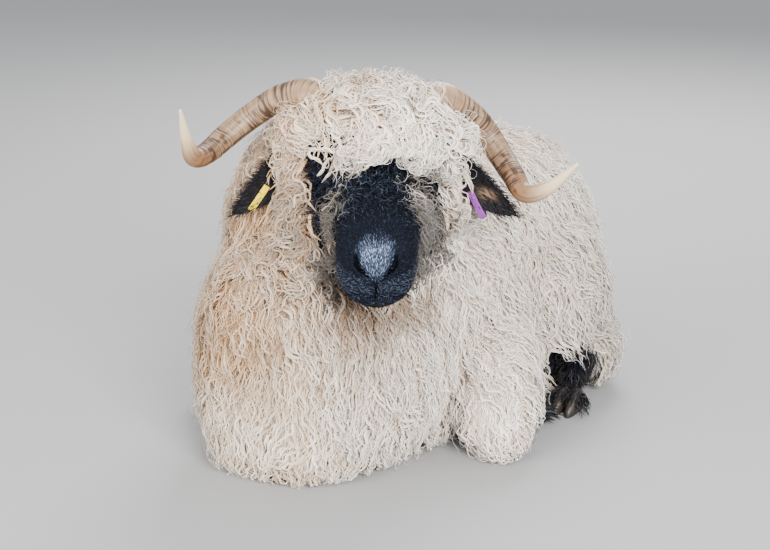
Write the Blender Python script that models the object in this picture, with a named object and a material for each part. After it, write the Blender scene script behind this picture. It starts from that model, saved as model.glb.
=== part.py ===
"""A Valais Blacknose ewe lying on her belly with the legs folded, at life size.

Metres, +Z up. The origin is on the floor under the belly. The head end is at -Y and
the ewe's own left side is at +X. The fleece is built out to the tips of its staples:
the body is modelled whole and then parted into its nodes by thin cuts.
"""
import math

import bpy
import numpy as np
from mathutils import Vector
from mathutils.bvhtree import BVHTree

# General
GAP = 0.0003
# The fused fleece reaches this far under the floor before it is cut flat
FLOOR_SINK = 0.003

# Torso, measured over the fleece: stations along the back
TORSO_FRONT = -0.455
TORSO_REAR = 0.425
TORSO_END_BLUNTNESS = 0.80
TORSO_FULLNESS = 0.43
WIDEST_HEIGHT = 0.17
#                 along Y, half width, height, centre X
TORSO_STATIONS = ((-0.455, 0.172, 0.365, 0.000),
                  (-0.30, 0.190, 0.400, 0.002),
                  (-0.14, 0.204, 0.430, 0.004),
                  (0.05, 0.213, 0.434, 0.010),
                  (0.22, 0.216, 0.428, 0.018),
                  (0.425, 0.190, 0.385, 0.026))
TORSO_ROWS = 10
TORSO_COLUMNS = 16

# Neck, measured over the fleece: X, Y, Z, radius
NECK_STATIONS = ((-0.020, -0.130, 0.240, 0.180),
                 (0.002, -0.190, 0.315, 0.188),
                 (0.048, -0.238, 0.380, 0.170),
                 (0.092, -0.266, 0.425, 0.126))
NECK_SIDES = 12

# Head frame: where the tip of the muzzle is, and how the head is turned
MUZZLE_TIP = (0.2006, -0.4326, 0.3443)
HEAD_YAW = 30.0
HEAD_PITCH = 22.0
# Face: distance back from the tip, half width, height above and depth below the axis
HEAD_STATIONS = ((-0.002, 0.020, 0.006, 0.036),
                 (0.006, 0.037, 0.022, 0.052),
                 (0.022, 0.049, 0.034, 0.062),
                 (0.046, 0.054, 0.042, 0.066),
                 (0.078, 0.052, 0.048, 0.064),
                 (0.112, 0.056, 0.054, 0.066),
                 (0.148, 0.068, 0.064, 0.072),
                 (0.185, 0.068, 0.070, 0.074),
                 (0.212, 0.056, 0.060, 0.060),
                 (0.228, 0.034, 0.038, 0.036))
HEAD_SIDES = 16
# The front of the muzzle leans back: its rings are sheared, most at the tip
MUZZLE_LEAN = 0.45
LEAN_LENGTH = 0.110
LEAN_CHIN = -0.036
# Wool of the head over its tips: centre (side, up, back) and radii (side, up, back)
POLL_CENTRE = (-0.008, 0.034, 0.235)
POLL_RADII = (0.158, 0.114, 0.106)
CHEEK_CENTRE = (0.092, -0.028, 0.212)
CHEEK_RADII = (0.064, 0.084, 0.082)

EYE_CENTRE = (0.056, 0.022, 0.146)
EYE_RADIUS = 0.0135

# Horns: centre line in the head frame (side, up, back) and radius, root to tip
HORN_RIGHT = ((0.036, 0.062, 0.226, 0.024),
              (0.084, 0.099, 0.261, 0.0225),
              (0.132, 0.083, 0.287, 0.0185),
              (0.176, 0.049, 0.295, 0.0170),
              (0.213, 0.030, 0.271, 0.0162),
              (0.239, 0.026, 0.232, 0.0145),
              (0.254, 0.038, 0.203, 0.0125),
              (0.259, 0.080, 0.183, 0.0080),
              (0.262, 0.135, 0.173, 0.0022))
HORN_LEFT = ((0.036, 0.062, 0.226, 0.024),
             (0.080, 0.097, 0.260, 0.0225),
             (0.125, 0.062, 0.279, 0.0185),
             (0.150, 0.027, 0.284, 0.0172),
             (0.170, 0.006, 0.260, 0.0162),
             (0.187, -0.002, 0.221, 0.0148),
             (0.203, -0.008, 0.185, 0.0128),
             (0.232, 0.020, 0.159, 0.0092),
             (0.268, 0.069, 0.146, 0.0022))
HORN_RINGS = 26
HORN_SIDES = 8

# Ears: centre line in the head frame (side, up, back), root to tip
EAR_RIGHT = ((0.056, 0.022, 0.228), (0.102, 0.024, 0.234), (0.140, 0.008, 0.214),
             (0.172, -0.016, 0.190), (0.202, -0.040, 0.178))
EAR_LEFT = ((0.056, 0.020, 0.226), (0.100, 0.016, 0.228), (0.132, -0.002, 0.206),
            (0.158, -0.024, 0.186), (0.184, -0.042, 0.172))
EAR_WIDTH = 0.056
EAR_THICKNESS = 0.004

# Legs over their wool: X, Y, Z, radius; written for the left side
FORELEG = ((0.140, -0.020, 0.130, 0.085),
           (0.190, -0.080, 0.095, 0.082),
           (0.232, -0.140, 0.062, 0.066),
           (0.252, -0.180, 0.036, 0.044))
FORE_CANNON = ((0.250, -0.175, 0.036, 0.036),
               (0.240, -0.100, 0.030, 0.028),
               (0.236, -0.052, 0.026, 0.022))
FORE_HOOF = (0.235, -0.018, 0.0)
HIND_CANNON = ((0.226, 0.205, 0.064, 0.056),
               (0.238, 0.150, 0.060, 0.046),
               (0.246, 0.100, 0.052, 0.032),
               (0.252, 0.074, 0.042, 0.022))
THIGH_CENTRE = (0.160, 0.150, 0.135)
THIGH_RADII = (0.122, 0.165, 0.128)
HIND_HOOF = (0.262, 0.046, 0.0)
RIGHT_LEG_SHIFT = (0.045, 0.012, 0.0)

# Claws: two to a foot, each a wedge from the coronet to the toe
CLAW_LENGTH = 0.052
CLAW_WIDTH = 0.019
CLAW_HEIGHT = 0.034
CLAW_SPLAY = 0.011
CLAW_SIDES = 6

# Tail over its wool: X, Y, Z, radius
TAIL = ((0.022, 0.350, 0.320, 0.034),
        (0.026, 0.408, 0.296, 0.042),
        (0.029, 0.442, 0.235, 0.042),
        (0.031, 0.452, 0.155, 0.034),
        (0.031, 0.448, 0.090, 0.020))

# Ear tags: a strap folded over the lower edge of each ear and pinned through it
TAG_LENGTH = 0.042
TAG_WIDTH = 0.011
TAG_THICKNESS = 0.0018
TAG_OPENING = 0.0125
TAG_PIN_RADIUS = 0.0026
TAG_RIGHT = ((0.150, -0.006, 0.202), (0.176, -0.042, 0.182))
TAG_LEFT = ((0.128, -0.014, 0.200), (0.150, -0.052, 0.180))

# Face: the grooves of the nostrils, lips and philtrum, head frame (side, up, back)
GROOVE_RADIUS = 0.0034
NOSTRIL = ((0.027, 0.016, 0.010), (0.024, 0.006, 0.004), (0.015, -0.003, 0.000),
           (0.003, -0.009, -0.006))
PHILTRUM = ((0.0, -0.009, -0.006), (0.0, -0.022, -0.012), (0.0, -0.035, -0.016))
MOUTH = ((0.053, -0.030, 0.044), (0.048, -0.039, 0.020), (0.030, -0.042, 0.000),
         (0.0, -0.037, -0.016))
LID_LENGTH = 0.019
LID_HEIGHT = 0.0125
LID_THICKNESS = 0.0042
LID_STEPS = 10
LID_SIDES = 4
EYE_CLEARING = 0.019

# Thin cuts that part the body: a point on each plane and its normal
NECK_CUT = ((0.02, -0.20, 0.31), (0.22, -0.50, 0.84))
HEAD_ZONE_BACK = 0.236
HEAD_ZONE_BOTTOM = -0.094
#             inner face X, front Y, rear Y, top Z
FORELEG_ZONE = (0.176, -0.300, -0.000, 0.150)
HINDLEG_ZONE = (0.150, 0.020, 0.330, 0.245)
TAIL_ZONE = (0.052, 0.388, 0.520, 0.345)

# Fleece: staples lie over a core that reaches half way to their tips
CORE_INSET = 0.036
SEED = 7
CLUMP_SPACING = 0.074
CLUMP_LENGTH = 0.112
CLUMP_HALF_WIDTH = 0.052
CLUMP_RISE = 0.018
CLUMP_FLATNESS = 0.50
CLUMP_SIDES = 6
SPINE_WIDTH = 0.12
#              share of the rise and of the half width at even steps, root to tip
CLUMP_RISES = (-0.10, 1.00, 0.90)
CLUMP_WIDTHS = (0.70, 1.00, 0.70)
# Forelock and cheek wool: flat tapered locks
LOCK_SPACING = 0.0415
LOCK_LENGTH = 0.104
LOCK_HALF_WIDTH = 0.027
LOCK_RISE = 0.030
LOCK_FLATNESS = 0.36
LOCK_SIDES = 4
LOCK_RISES = (-0.45, 0.95, 0.85, 0.35)
LOCK_WIDTHS = (0.75, 1.00, 0.85, 0.28)
LOCK_CLEARANCE = 0.008
WHORL = (0.0, 0.080, 0.370)
STAPLE_FLOOR = 0.002
STAPLE_LOWEST = 0.060
FLEECE_DETAIL = 0.006
FLEECE_TRIANGLES = 4400


def head_axes():
    """Unit vectors to the ewe's left, up from the face and out through the muzzle."""
    yaw, pitch = math.radians(HEAD_YAW), math.radians(HEAD_PITCH)
    side = np.array((math.cos(yaw), math.sin(yaw), 0.0))
    out = np.array((math.sin(yaw) * math.cos(pitch), -math.cos(yaw) * math.cos(pitch),
                    -math.sin(pitch)))
    return side, np.cross(out, side), out


def head_points(local):
    """World places of points given in the head frame as side, up and back."""
    side, up, out = head_axes()
    local = np.atleast_2d(np.asarray(local, float))
    return (np.array(MUZZLE_TIP) + local[:, :1] * side + local[:, 1:2] * up
            - local[:, 2:3] * out)


def blend(stations, samples):
    """A smooth curve through the rows of a table, Catmull-Rom, at evenly spread samples."""
    rows = np.asarray(stations, float)
    rows = np.vstack((2 * rows[0] - rows[1], rows, 2 * rows[-1] - rows[-2]))
    place = np.linspace(0.0, len(rows) - 3, samples)
    first = np.minimum(place.astype(int), len(rows) - 4)
    t = (place - first)[:, None]
    a, b, c, d = rows[first], rows[first + 1], rows[first + 2], rows[first + 3]
    return 0.5 * (2 * b + (c - a) * t + (2 * a - 5 * b + 4 * c - d) * t ** 2
                  + (3 * b - a - 3 * c + d) * t ** 3)


def rings_mesh(rings, start, end):
    """A closed body of equal rings with a point at each end, its faces wound outward."""
    count, sides = rings.shape[:2]
    verts = np.vstack((rings.reshape(-1, 3), start, end))
    faces = []
    for row in range(count - 1):
        for k in range(sides):
            a, b = row * sides + k, row * sides + (k + 1) % sides
            faces += [(a, b, b + sides), (a, b + sides, a + sides)]
    first, last, base = count * sides, count * sides + 1, (count - 1) * sides
    for k in range(sides):
        faces.append((first, (k + 1) % sides, k))
        faces.append((last, base + k, base + (k + 1) % sides))
    corners = (verts - verts.mean(axis=0))[np.array(faces)]
    if np.sum(corners[:, 0] * np.cross(corners[:, 1], corners[:, 2])) < 0:
        faces = [face[::-1] for face in faces]
    return verts, faces


def path_frames(path, up):
    """Two unit vectors across a path at each of its points, the first near `up`."""
    tangent = np.gradient(path, axis=0)
    tangent /= np.linalg.norm(tangent, axis=1, keepdims=True)
    across = np.cross(tangent, np.asarray(up, float))
    across /= np.linalg.norm(across, axis=1, keepdims=True)
    return np.cross(across, tangent), across, tangent


def tube(path, radii, sides, up, flat=1.0):
    """A closed tube along a path: each ring is an ellipse `flat` as thick as it is wide."""
    high, across, tangent = path_frames(path, up)
    angle = np.arange(sides) * (2 * math.pi / sides)
    radii = np.asarray(radii, float)[:, None, None]
    rings = (path[:, None] + radii * (np.cos(angle)[None, :, None] * across[:, None]
             + flat * np.sin(angle)[None, :, None] * high[:, None]))
    start = path[0] - tangent[0] * radii[0, 0] * 0.6
    end = path[-1] + tangent[-1] * radii[-1, 0] * 0.6
    return rings_mesh(rings, start, end)


def round_body(centre, radii, axes, rows=10, sides=16):
    """An ellipsoid: rings of a sphere scaled along three axes."""
    turn = np.linspace(0, math.pi, rows + 2)[1:-1][:, None]
    angle = (np.arange(sides) * (2 * math.pi / sides))[None]
    unit = np.stack((np.sin(turn) * np.cos(angle), np.sin(turn) * np.sin(angle),
                     np.cos(turn) + 0 * angle), 2) * np.asarray(radii, float)
    rings = unit @ np.asarray(axes, float) + centre
    tip = np.asarray(axes, float)[2] * radii[2]
    return rings_mesh(rings, centre + tip, centre - tip)


def surface_tree(shapes):
    """A search tree over the faces of several closed bodies."""
    verts, faces, base = [], [], 0
    for part_verts, part_faces in shapes:
        verts += [Vector(v) for v in part_verts]
        faces += [[base + k for k in face] for face in part_faces]
        base += len(part_verts)
    return BVHTree.FromPolygons(verts, faces)


def lay_on_floor(verts, level=-FLOOR_SINK):
    """Press what is below a level flat on to it."""
    verts = verts.copy()
    verts[:, 2] = np.maximum(verts[:, 2], level)
    return verts


def torso_surface(inset):
    """Blunt rounded loaf: x = X + W r |cos|^a, z from the floor to the back, r = sin^f."""
    turn = np.linspace(0, math.pi, TORSO_ROWS + 2)[1:-1]
    middle, half = (TORSO_FRONT + TORSO_REAR) / 2, (TORSO_REAR - TORSO_FRONT) / 2 - inset
    y = middle - half * np.sign(np.cos(turn)) * np.abs(np.cos(turn)) ** TORSO_END_BLUNTNESS
    swell = np.sin(turn) ** TORSO_FULLNESS
    low_swell = np.sin(turn) ** (TORSO_FULLNESS / 2)
    table = np.array(TORSO_STATIONS)
    width = (np.interp(y, table[:, 0], table[:, 1]) - inset) * swell
    height = (np.interp(y, table[:, 0], table[:, 2]) - inset - WIDEST_HEIGHT) * swell
    centre = np.interp(y, table[:, 0], table[:, 3])
    angle = np.arange(TORSO_COLUMNS) * (2 * math.pi / TORSO_COLUMNS)
    c, s = np.cos(angle), np.sin(angle)
    upper = s > 0
    across = np.sign(c) * np.abs(c) ** np.where(upper, 0.92, 0.70)
    rise = np.where(upper, np.abs(s) ** 0.92, -np.abs(s) ** 0.62)
    rings = np.empty((TORSO_ROWS, TORSO_COLUMNS, 3))
    rings[..., 0] = centre[:, None] + width[:, None] * across
    rings[..., 1] = y[:, None]
    depth = 1.16 * WIDEST_HEIGHT * low_swell
    rings[..., 2] = WIDEST_HEIGHT + np.where(upper, height[:, None], depth[:, None]) * rise
    start = (centre[0], middle - half, WIDEST_HEIGHT)
    end = (centre[-1], middle + half, WIDEST_HEIGHT)
    verts, faces = rings_mesh(rings, start, end)
    return lay_on_floor(verts), faces


def neck_surface(inset):
    """The column from the withers to the poll."""
    rows = blend(NECK_STATIONS, 5)
    return tube(rows[:, :3], rows[:, 3] - inset, NECK_SIDES, (0.3, 0.5, 0.8))


def leg_surfaces(inset, mirror):
    """The wool-covered fore and hind legs of one side as lists of closed bodies."""
    shift = np.array(RIGHT_LEG_SHIFT) if mirror < 0 else np.zeros(3)
    flip = np.array((mirror, 1.0, 1.0))
    verts, faces = round_body((np.array(THIGH_CENTRE) - shift) * flip,
                              np.array(THIGH_RADII) - inset,
                              ((1, 0, 0), (0, 0.2, 0.98), (0, 0.98, -0.2)),
                              rows=6, sides=10)
    thigh = (lay_on_floor(verts), faces)
    legs = []
    for pieces, bodies in (((FORELEG, FORE_CANNON), []), ((HIND_CANNON,), [thigh])):
        for piece in pieces:
            rows = blend(piece, 5)
            path = (rows[:, :3] - shift * np.sign(rows[:, :1])) * flip
            path[:, 2] = np.maximum(path[:, 2], 0.004)
            radii = np.maximum(rows[:, 3] - inset, 0.6 * rows[:, 3])
            verts, faces = tube(path, radii, 8, (0, 0, 1))
            bodies.append((lay_on_floor(verts), faces))
        legs.append(bodies)
    return legs


def material(name, colour, roughness, metallic=0.0):
    """A Principled material of one colour."""
    made = bpy.data.materials.new(name)
    made.use_nodes = True
    shader = made.node_tree.nodes["Principled BSDF"]
    shader.inputs["Base Color"].default_value = (*colour, 1.0)
    shader.inputs["Roughness"].default_value = roughness
    shader.inputs["Metallic"].default_value = metallic
    made.diffuse_color = (*colour, 1.0)
    return made


def solid(name, shape, finish=None):
    """A mesh object from vertices and faces."""
    verts, faces = shape
    mesh = bpy.data.meshes.new(name)
    mesh.from_pydata(np.asarray(verts).tolist(), [], faces)
    mesh.validate()
    made = bpy.data.objects.new(name, mesh)
    bpy.context.scene.collection.objects.link(made)
    if finish is not None:
        mesh.materials.append(finish)
    return made


def remove(objects):
    """Delete helper objects and their meshes."""
    for item in objects:
        mesh = item.data
        bpy.data.objects.remove(item)
        bpy.data.meshes.remove(mesh)


def settle(item):
    """Apply an object's modifiers to its mesh."""
    view = bpy.context.evaluated_depsgraph_get()
    view.update()
    result = bpy.data.meshes.new_from_object(item.evaluated_get(view))
    item.modifiers.clear()
    old = item.data
    result.name = old.name
    item.data = result
    bpy.data.meshes.remove(old)
    return item


def combine(target, others, operation):
    """Apply one Boolean of a whole collection of closed meshes to an object."""
    group = bpy.data.collections.new("operands")
    bpy.context.scene.collection.children.link(group)
    for item in others:
        group.objects.link(item)
    step = target.modifiers.new("combine", "BOOLEAN")
    step.operation = operation
    step.operand_type = "COLLECTION"
    step.collection = group
    step.solver = "MANIFOLD"
    settle(target)
    remove(others)
    bpy.data.collections.remove(group)
    return target


def simplify(item, detail, triangles):
    """Even out a fused surface and collapse it to about a number of triangles."""
    even = item.modifiers.new("even", "REMESH")
    even.mode = "VOXEL"
    even.voxel_size = detail
    settle(item)
    collapse = item.modifiers.new("collapse", "DECIMATE")
    collapse.ratio = triangles / (2 * len(item.data.polygons))
    return settle(item)


def copy_of(item, name):
    """A separate copy of an object and its mesh."""
    made = bpy.data.objects.new(name, item.data.copy())
    bpy.context.scene.collection.objects.link(made)
    return made


def keep_largest(item):
    """Leave only the closed surface with the most volume."""
    mesh = item.data
    corner = np.empty(len(mesh.loops), int)
    mesh.loops.foreach_get("vertex_index", corner)
    start = np.empty(len(mesh.polygons), int)
    mesh.polygons.foreach_get("loop_start", start)
    total = np.empty(len(mesh.polygons), int)
    mesh.polygons.foreach_get("loop_total", total)
    place = np.empty(3 * len(mesh.vertices))
    mesh.vertices.foreach_get("co", place)
    place = place.reshape(-1, 3)
    edges = np.empty(2 * len(mesh.edges), int)
    mesh.edges.foreach_get("vertices", edges)
    edges = edges.reshape(-1, 2)
    label = np.arange(len(place))
    while True:
        low = np.minimum(label[edges[:, 0]], label[edges[:, 1]])
        before = label.copy()
        np.minimum.at(label, edges[:, 0], low)
        np.minimum.at(label, edges[:, 1], low)
        label = label[label]
        if np.array_equal(before, label):
            break
    volumes = {}
    faces = [corner[a:a + n] for a, n in zip(start, total)]
    for face in faces:
        key = int(label[face[0]])
        p = place[face]
        for k in range(1, len(face) - 1):
            volumes[key] = volumes.get(key, 0.0) + np.dot(p[0], np.cross(p[k], p[k + 1]))
    best = max(volumes, key=volumes.get)
    if len(volumes) > 1:
        kept = [face for face in faces if label[face[0]] == best]
        used = np.unique(np.concatenate(kept))
        index = np.full(len(place), -1)
        index[used] = np.arange(len(used))
        fresh = bpy.data.meshes.new(mesh.name)
        fresh.from_pydata(place[used].tolist(), [], [index[face].tolist() for face in kept])
        for slot in mesh.materials:
            fresh.materials.append(slot)
        item.data = fresh
        bpy.data.meshes.remove(mesh)
    return item


def finish_node(item, name, finish):
    """Name a node, give it its material and smooth shading with creases."""
    item.name = name
    item.data.name = name
    item.data.materials.clear()
    item.data.materials.append(finish)
    item.data.shade_smooth()
    item.data.set_sharp_from_angle(angle=math.radians(50))
    return item


def head_surface(grow=0.0):
    """The face and skull: superellipse rings from the tip of the muzzle to the poll."""
    rows = blend(HEAD_STATIONS, 13) + (0.0, grow, grow, grow)
    angle = np.arange(HEAD_SIDES) * (2 * math.pi / HEAD_SIDES)
    c, s = np.cos(angle), np.sin(angle)
    across = np.sign(c) * np.abs(c) ** 0.86
    rise = np.sign(s) * np.abs(s) ** 0.92
    local = np.empty((len(rows), HEAD_SIDES, 3))
    local[..., 0] = rows[:, 1:2] * across
    local[..., 1] = np.where(s > 0, rows[:, 2:3], rows[:, 3:4]) * rise
    lean = MUZZLE_LEAN * np.clip(1 - rows[:, :1] / LEAN_LENGTH, 0, 1)
    local[..., 2] = rows[:, :1] + lean * np.maximum(local[..., 1], LEAN_CHIN)
    rings = head_points(local.reshape(-1, 3)).reshape(local.shape)
    tip = HEAD_STATIONS[0][0] - 0.004 + MUZZLE_LEAN * -0.016
    ends = head_points(((0, -0.016, tip - grow), (0, 0.004, HEAD_STATIONS[-1][0] + 0.006 + grow)))
    return rings_mesh(rings, ends[0], ends[1])


def head_wool(inset):
    """The woolly cap of the poll and the two cheeks."""
    side, up, out = head_axes()
    axes = (side, up, -out)
    bodies = [round_body(head_points(POLL_CENTRE)[0], np.array(POLL_RADII) - inset, axes,
                         rows=6, sides=12)]
    for mirror in (-1, 1):
        centre = np.array(CHEEK_CENTRE) * (mirror, 1, 1)
        bodies.append(round_body(head_points(centre)[0], np.array(CHEEK_RADII) - inset, axes,
                                 rows=5, sides=8))
    return bodies


def horn_surface(stations, mirror, grow=0.0):
    """A swept horn with growth rings that fade towards the tip."""
    rows = blend(stations, HORN_RINGS)
    path = head_points(rows[:, :3] * (mirror, 1, 1))
    step = np.arange(HORN_RINGS)
    ridge = np.where((step % 2 == 0) & (step > 4) & (step < HORN_RINGS - 8), 0.0009, 0.0)
    radii = np.maximum(rows[:, 3], 0.002) + ridge + grow
    up = head_axes()[1] + head_axes()[2]
    return tube(path, radii, HORN_SIDES, up, flat=0.82)


def ear_surface(stations, mirror, grow=0.0):
    """A cupped leaf: each ring is an arc of the outside and one of the inside."""
    rows = blend(stations, 8)
    path = head_points(rows * (mirror, 1, 1))
    out, across, tangent = path_frames(path, head_axes()[2])
    along = np.linspace(0, 1, len(rows))
    width = EAR_WIDTH / 2 * (0.40 + 0.60 * np.sin(np.pi * np.clip(along, 0, 1) ** 1.1)) + grow
    width *= np.sqrt(np.clip(1.0 - ((along - 0.45) / 0.58) ** 4, 0.02, 1))
    x = np.linspace(-1, 1, 5)
    curl = 0.34 * width[:, None] * x ** 2
    half = EAR_THICKNESS / 2 + grow
    thick = half * np.sqrt(np.clip(1 - (x * 0.92) ** 4, 0, 1))
    spread = width[:, None, None] * x[None, :, None] * across[:, None]
    inner = path[:, None] + spread + (curl + thick)[..., None] * out[:, None]
    outer = path[:, None] + spread + (curl - thick)[..., None] * out[:, None]
    rings = np.concatenate((inner, outer[:, ::-1]), axis=1)
    start, end = path[0] - tangent[0] * (0.004 + grow), path[-1] + tangent[-1] * (0.008 + grow)
    return rings_mesh(rings, start, end)


def claw_surface(place, heading, mirror, splay, grow=0.0):
    """One claw of a hoof: an oval wedge from the coronet to the toe, flat on the floor."""
    along = np.array((0.0, heading, 0.0))
    side = np.array((1.0, 0.0, 0.0))
    rise = np.array((0.0, 0.0, 1.0))
    centre = np.array(place) * (mirror, 1, 1) + splay * CLAW_SPLAY * side
    #         along, half width, top
    profile = ((-0.34, 0.38, 0.90), (-0.10, 0.50, 0.96), (0.26, 0.44, 0.62),
               (0.50, 0.20, 0.26))
    rings = []
    for reach, half, top in profile:
        height = CLAW_HEIGHT * top / 2
        middle = centre + along * reach * CLAW_LENGTH + rise * (height - 0.002)
        angle = np.arange(CLAW_SIDES) * (2 * math.pi / CLAW_SIDES) + math.pi / CLAW_SIDES
        rings.append(middle + (CLAW_WIDTH * half + grow) * np.cos(angle)[:, None] * side
                     + (height + grow + 0.002) * np.sin(angle)[:, None] * rise)
    start = centre - along * (0.38 * CLAW_LENGTH + grow) + rise * 0.4 * CLAW_HEIGHT
    end = centre + along * (0.53 * CLAW_LENGTH + grow) + rise * 0.004
    verts, faces = rings_mesh(np.array(rings), start, end)
    return lay_on_floor(verts, -grow), faces


def tag_surfaces(line, mirror, grow=0.0):
    """The folded strap of an ear tag and the pin that joins its two leaves."""
    ends = head_points(np.array(line) * (mirror, 1, 1))
    out = head_axes()[2]
    long = ends[1] - ends[0]
    long /= np.linalg.norm(long)
    across = np.cross(out, long)
    across /= np.linalg.norm(across)
    out = np.cross(long, across)
    bend = TAG_OPENING / 2
    turn = np.linspace(-math.pi / 2, math.pi / 2, 5)
    arc = np.stack((TAG_LENGTH - bend + bend * np.cos(turn), bend * np.sin(turn)), 1)
    line = np.vstack(((0.0, -bend), arc, (0.0, bend)))
    half = TAG_THICKNESS / 2 + grow
    slope = np.gradient(line, axis=0)
    slope /= np.linalg.norm(slope, axis=1, keepdims=True)
    normal = np.stack((-slope[:, 1], slope[:, 0]), 1)
    rings = []
    for spot, lift in zip(line, normal):
        ring = []
        for wide, thick in ((-1, -1), (1, -1), (1, 1), (-1, 1)):
            flat = spot + lift * half * thick
            ring.append(ends[0] + long * flat[0] + out * flat[1]
                        + across * wide * (TAG_WIDTH / 2 + grow))
        rings.append(ring)
    rings = np.array(rings)
    rings[0] -= long * grow
    rings[-1] -= long * grow
    strap = rings_mesh(rings, rings[0].mean(axis=0), rings[-1].mean(axis=0))
    foot = ends[0] + long * TAG_LENGTH * 0.25
    reach = np.linspace(-bend, bend, 3)[:, None]
    pin = tube(foot + reach * out, np.full(3, TAG_PIN_RADIUS + grow), 6, across)
    return [strap, pin]


def eye_surface(mirror, grow=0.0):
    """The eyeball."""
    side, up, out = head_axes()
    centre = head_points(np.array(EYE_CENTRE) * (mirror, 1, 1))[0]
    return round_body(centre, np.full(3, EYE_RADIUS + grow), (up, out, side), rows=5, sides=8)


def gaze(mirror):
    """The way an eye looks: mostly sideways, a little forward and up."""
    side, up, out = head_axes()
    way = mirror * 0.86 * side + 0.48 * out + 0.16 * up
    return way / np.linalg.norm(way)


def lid_surface(mirror, grow=0.0):
    """The almond rim of the lids as a closed ring round the eyeball."""
    side, up, out = head_axes()
    way = gaze(mirror)
    long = out - way * (out @ way)
    long /= np.linalg.norm(long)
    high = np.cross(way, long)
    high *= np.sign(high @ up)
    centre = head_points(np.array(EYE_CENTRE) * (mirror, 1, 1))[0] + way * 0.0075
    turn = np.arange(LID_STEPS) * (2 * math.pi / LID_STEPS)
    rings = []
    for a in turn:
        spot = (centre + long * LID_LENGTH * np.cos(a)
                + high * LID_HEIGHT * np.sign(np.sin(a)) * abs(np.sin(a)) ** 1.2
                - way * 0.005 * np.cos(a) ** 2)
        radial = long * np.cos(a) * LID_HEIGHT + high * np.sin(a) * LID_LENGTH
        radial /= np.linalg.norm(radial)
        b = np.arange(LID_SIDES) * (2 * math.pi / LID_SIDES)
        rings.append(spot + (LID_THICKNESS + grow) * (np.cos(b)[:, None] * radial
                                                      + np.sin(b)[:, None] * way))
    rings = np.array(rings)
    verts = rings.reshape(-1, 3)
    faces = []
    for row in range(LID_STEPS):
        for k in range(LID_SIDES):
            a, b = row * LID_SIDES + k, row * LID_SIDES + (k + 1) % LID_SIDES
            c, d = [(i + LID_SIDES) % (LID_STEPS * LID_SIDES) for i in (b, a)]
            faces += [(a, b, c), (a, c, d)]
    wedge = np.cross(verts[faces[0][1]] - verts[faces[0][0]],
                     verts[faces[0][2]] - verts[faces[0][0]])
    if wedge @ (verts[faces[0][0]] - rings[0].mean(axis=0)) < 0:
        faces = [face[::-1] for face in faces]
    return verts, faces


def face_grooves():
    """Thin bodies that cut the nostrils, the philtrum and the line of the mouth."""
    skin = surface_tree([head_surface()])
    lines = [(PHILTRUM, 1, GROOVE_RADIUS * 0.5)]
    for mirror in (-1, 1):
        lines += [(NOSTRIL, mirror, GROOVE_RADIUS), (MOUTH, mirror, GROOVE_RADIUS * 0.75)]
    grooves = []
    for line, mirror, radius in lines:
        rows = head_points(blend(np.array(line) * (mirror, 1, 1), 6))
        path = np.array([skin.find_nearest(Vector(spot))[0] for spot in rows])
        size = radius * (0.6 + 0.4 * np.sin(np.linspace(0.2, 2.9, 6)))
        grooves.append(tube(path, size, 4, head_axes()[2]))
    return grooves


def block(low, high, axes=np.eye(3), origin=(0, 0, 0)):
    """A box between two corners given along three axes from an origin."""
    corners = np.array([[(high if bit else low)[axis] for axis, bit in enumerate(key)]
                        for key in ((0, 0, 0), (1, 0, 0), (1, 1, 0), (0, 1, 0),
                                    (0, 0, 1), (1, 0, 1), (1, 1, 1), (0, 1, 1))])
    verts = np.array(origin) + corners @ np.asarray(axes)
    faces = [(0, 3, 2, 1), (4, 5, 6, 7), (0, 1, 5, 4), (1, 2, 6, 5), (2, 3, 7, 6), (3, 0, 4, 7)]
    if np.linalg.det(np.asarray(axes)) < 0:
        faces = [face[::-1] for face in faces]
    return verts, faces


def zones(grow):
    """The closed bodies that part the whole ewe; each is larger than its node by `grow`."""
    side, up, out = head_axes()
    far = 0.6
    head = block((-far, HEAD_ZONE_BOTTOM - grow, -HEAD_ZONE_BACK - grow), (far, far, far),
                 (side, up, out), MUZZLE_TIP)
    point, normal = np.array(NECK_CUT[0]), np.array(NECK_CUT[1])
    normal = normal / np.linalg.norm(normal)
    first = np.cross(normal, (1.0, 0.0, 0.0))
    first /= np.linalg.norm(first)
    second = np.cross(normal, first)
    neck = block((-far, -far, -grow), (far, far, far), (first, second, normal), point)
    parts = {"forelock": head, "neck": neck}
    for word, mirror in (("left", 1), ("right", -1)):
        for kind, (inner, front, rear, top) in (("foreleg", FORELEG_ZONE),
                                                ("hindleg", HINDLEG_ZONE)):
            low = np.array((inner - grow, front - grow, -0.1))
            high = np.array((far, rear + grow, top + grow))
            if mirror < 0:
                low[0], high[0] = -far, -(inner - grow) + RIGHT_LEG_SHIFT[0]
            parts[f"{kind}_{word}"] = block(low, high)
    half, front, rear, top = TAIL_ZONE
    parts["tail"] = block((TAIL[1][0] - half - grow, front - grow, -0.1),
                          (TAIL[1][0] + half + grow, rear, top + grow))
    return parts


def tail_surface(inset):
    """The woolly tail hanging down over the rump."""
    rows = blend(TAIL, 6)
    radii = np.maximum(rows[:, 3] - inset, 0.5 * rows[:, 3])
    verts, faces = tube(rows[:, :3], radii, 8, (1, 0, 0))
    return lay_on_floor(verts, 0.002), faces


def core_shapes(inset):
    """All bodies that the fleece grows on, `inset` inside its tips."""
    shapes = [torso_surface(inset), neck_surface(inset), tail_surface(inset)]
    for mirror in (1, -1):
        for leg in leg_surfaces(inset, mirror):
            shapes.extend(leg)
    return shapes + head_wool(inset)


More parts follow.
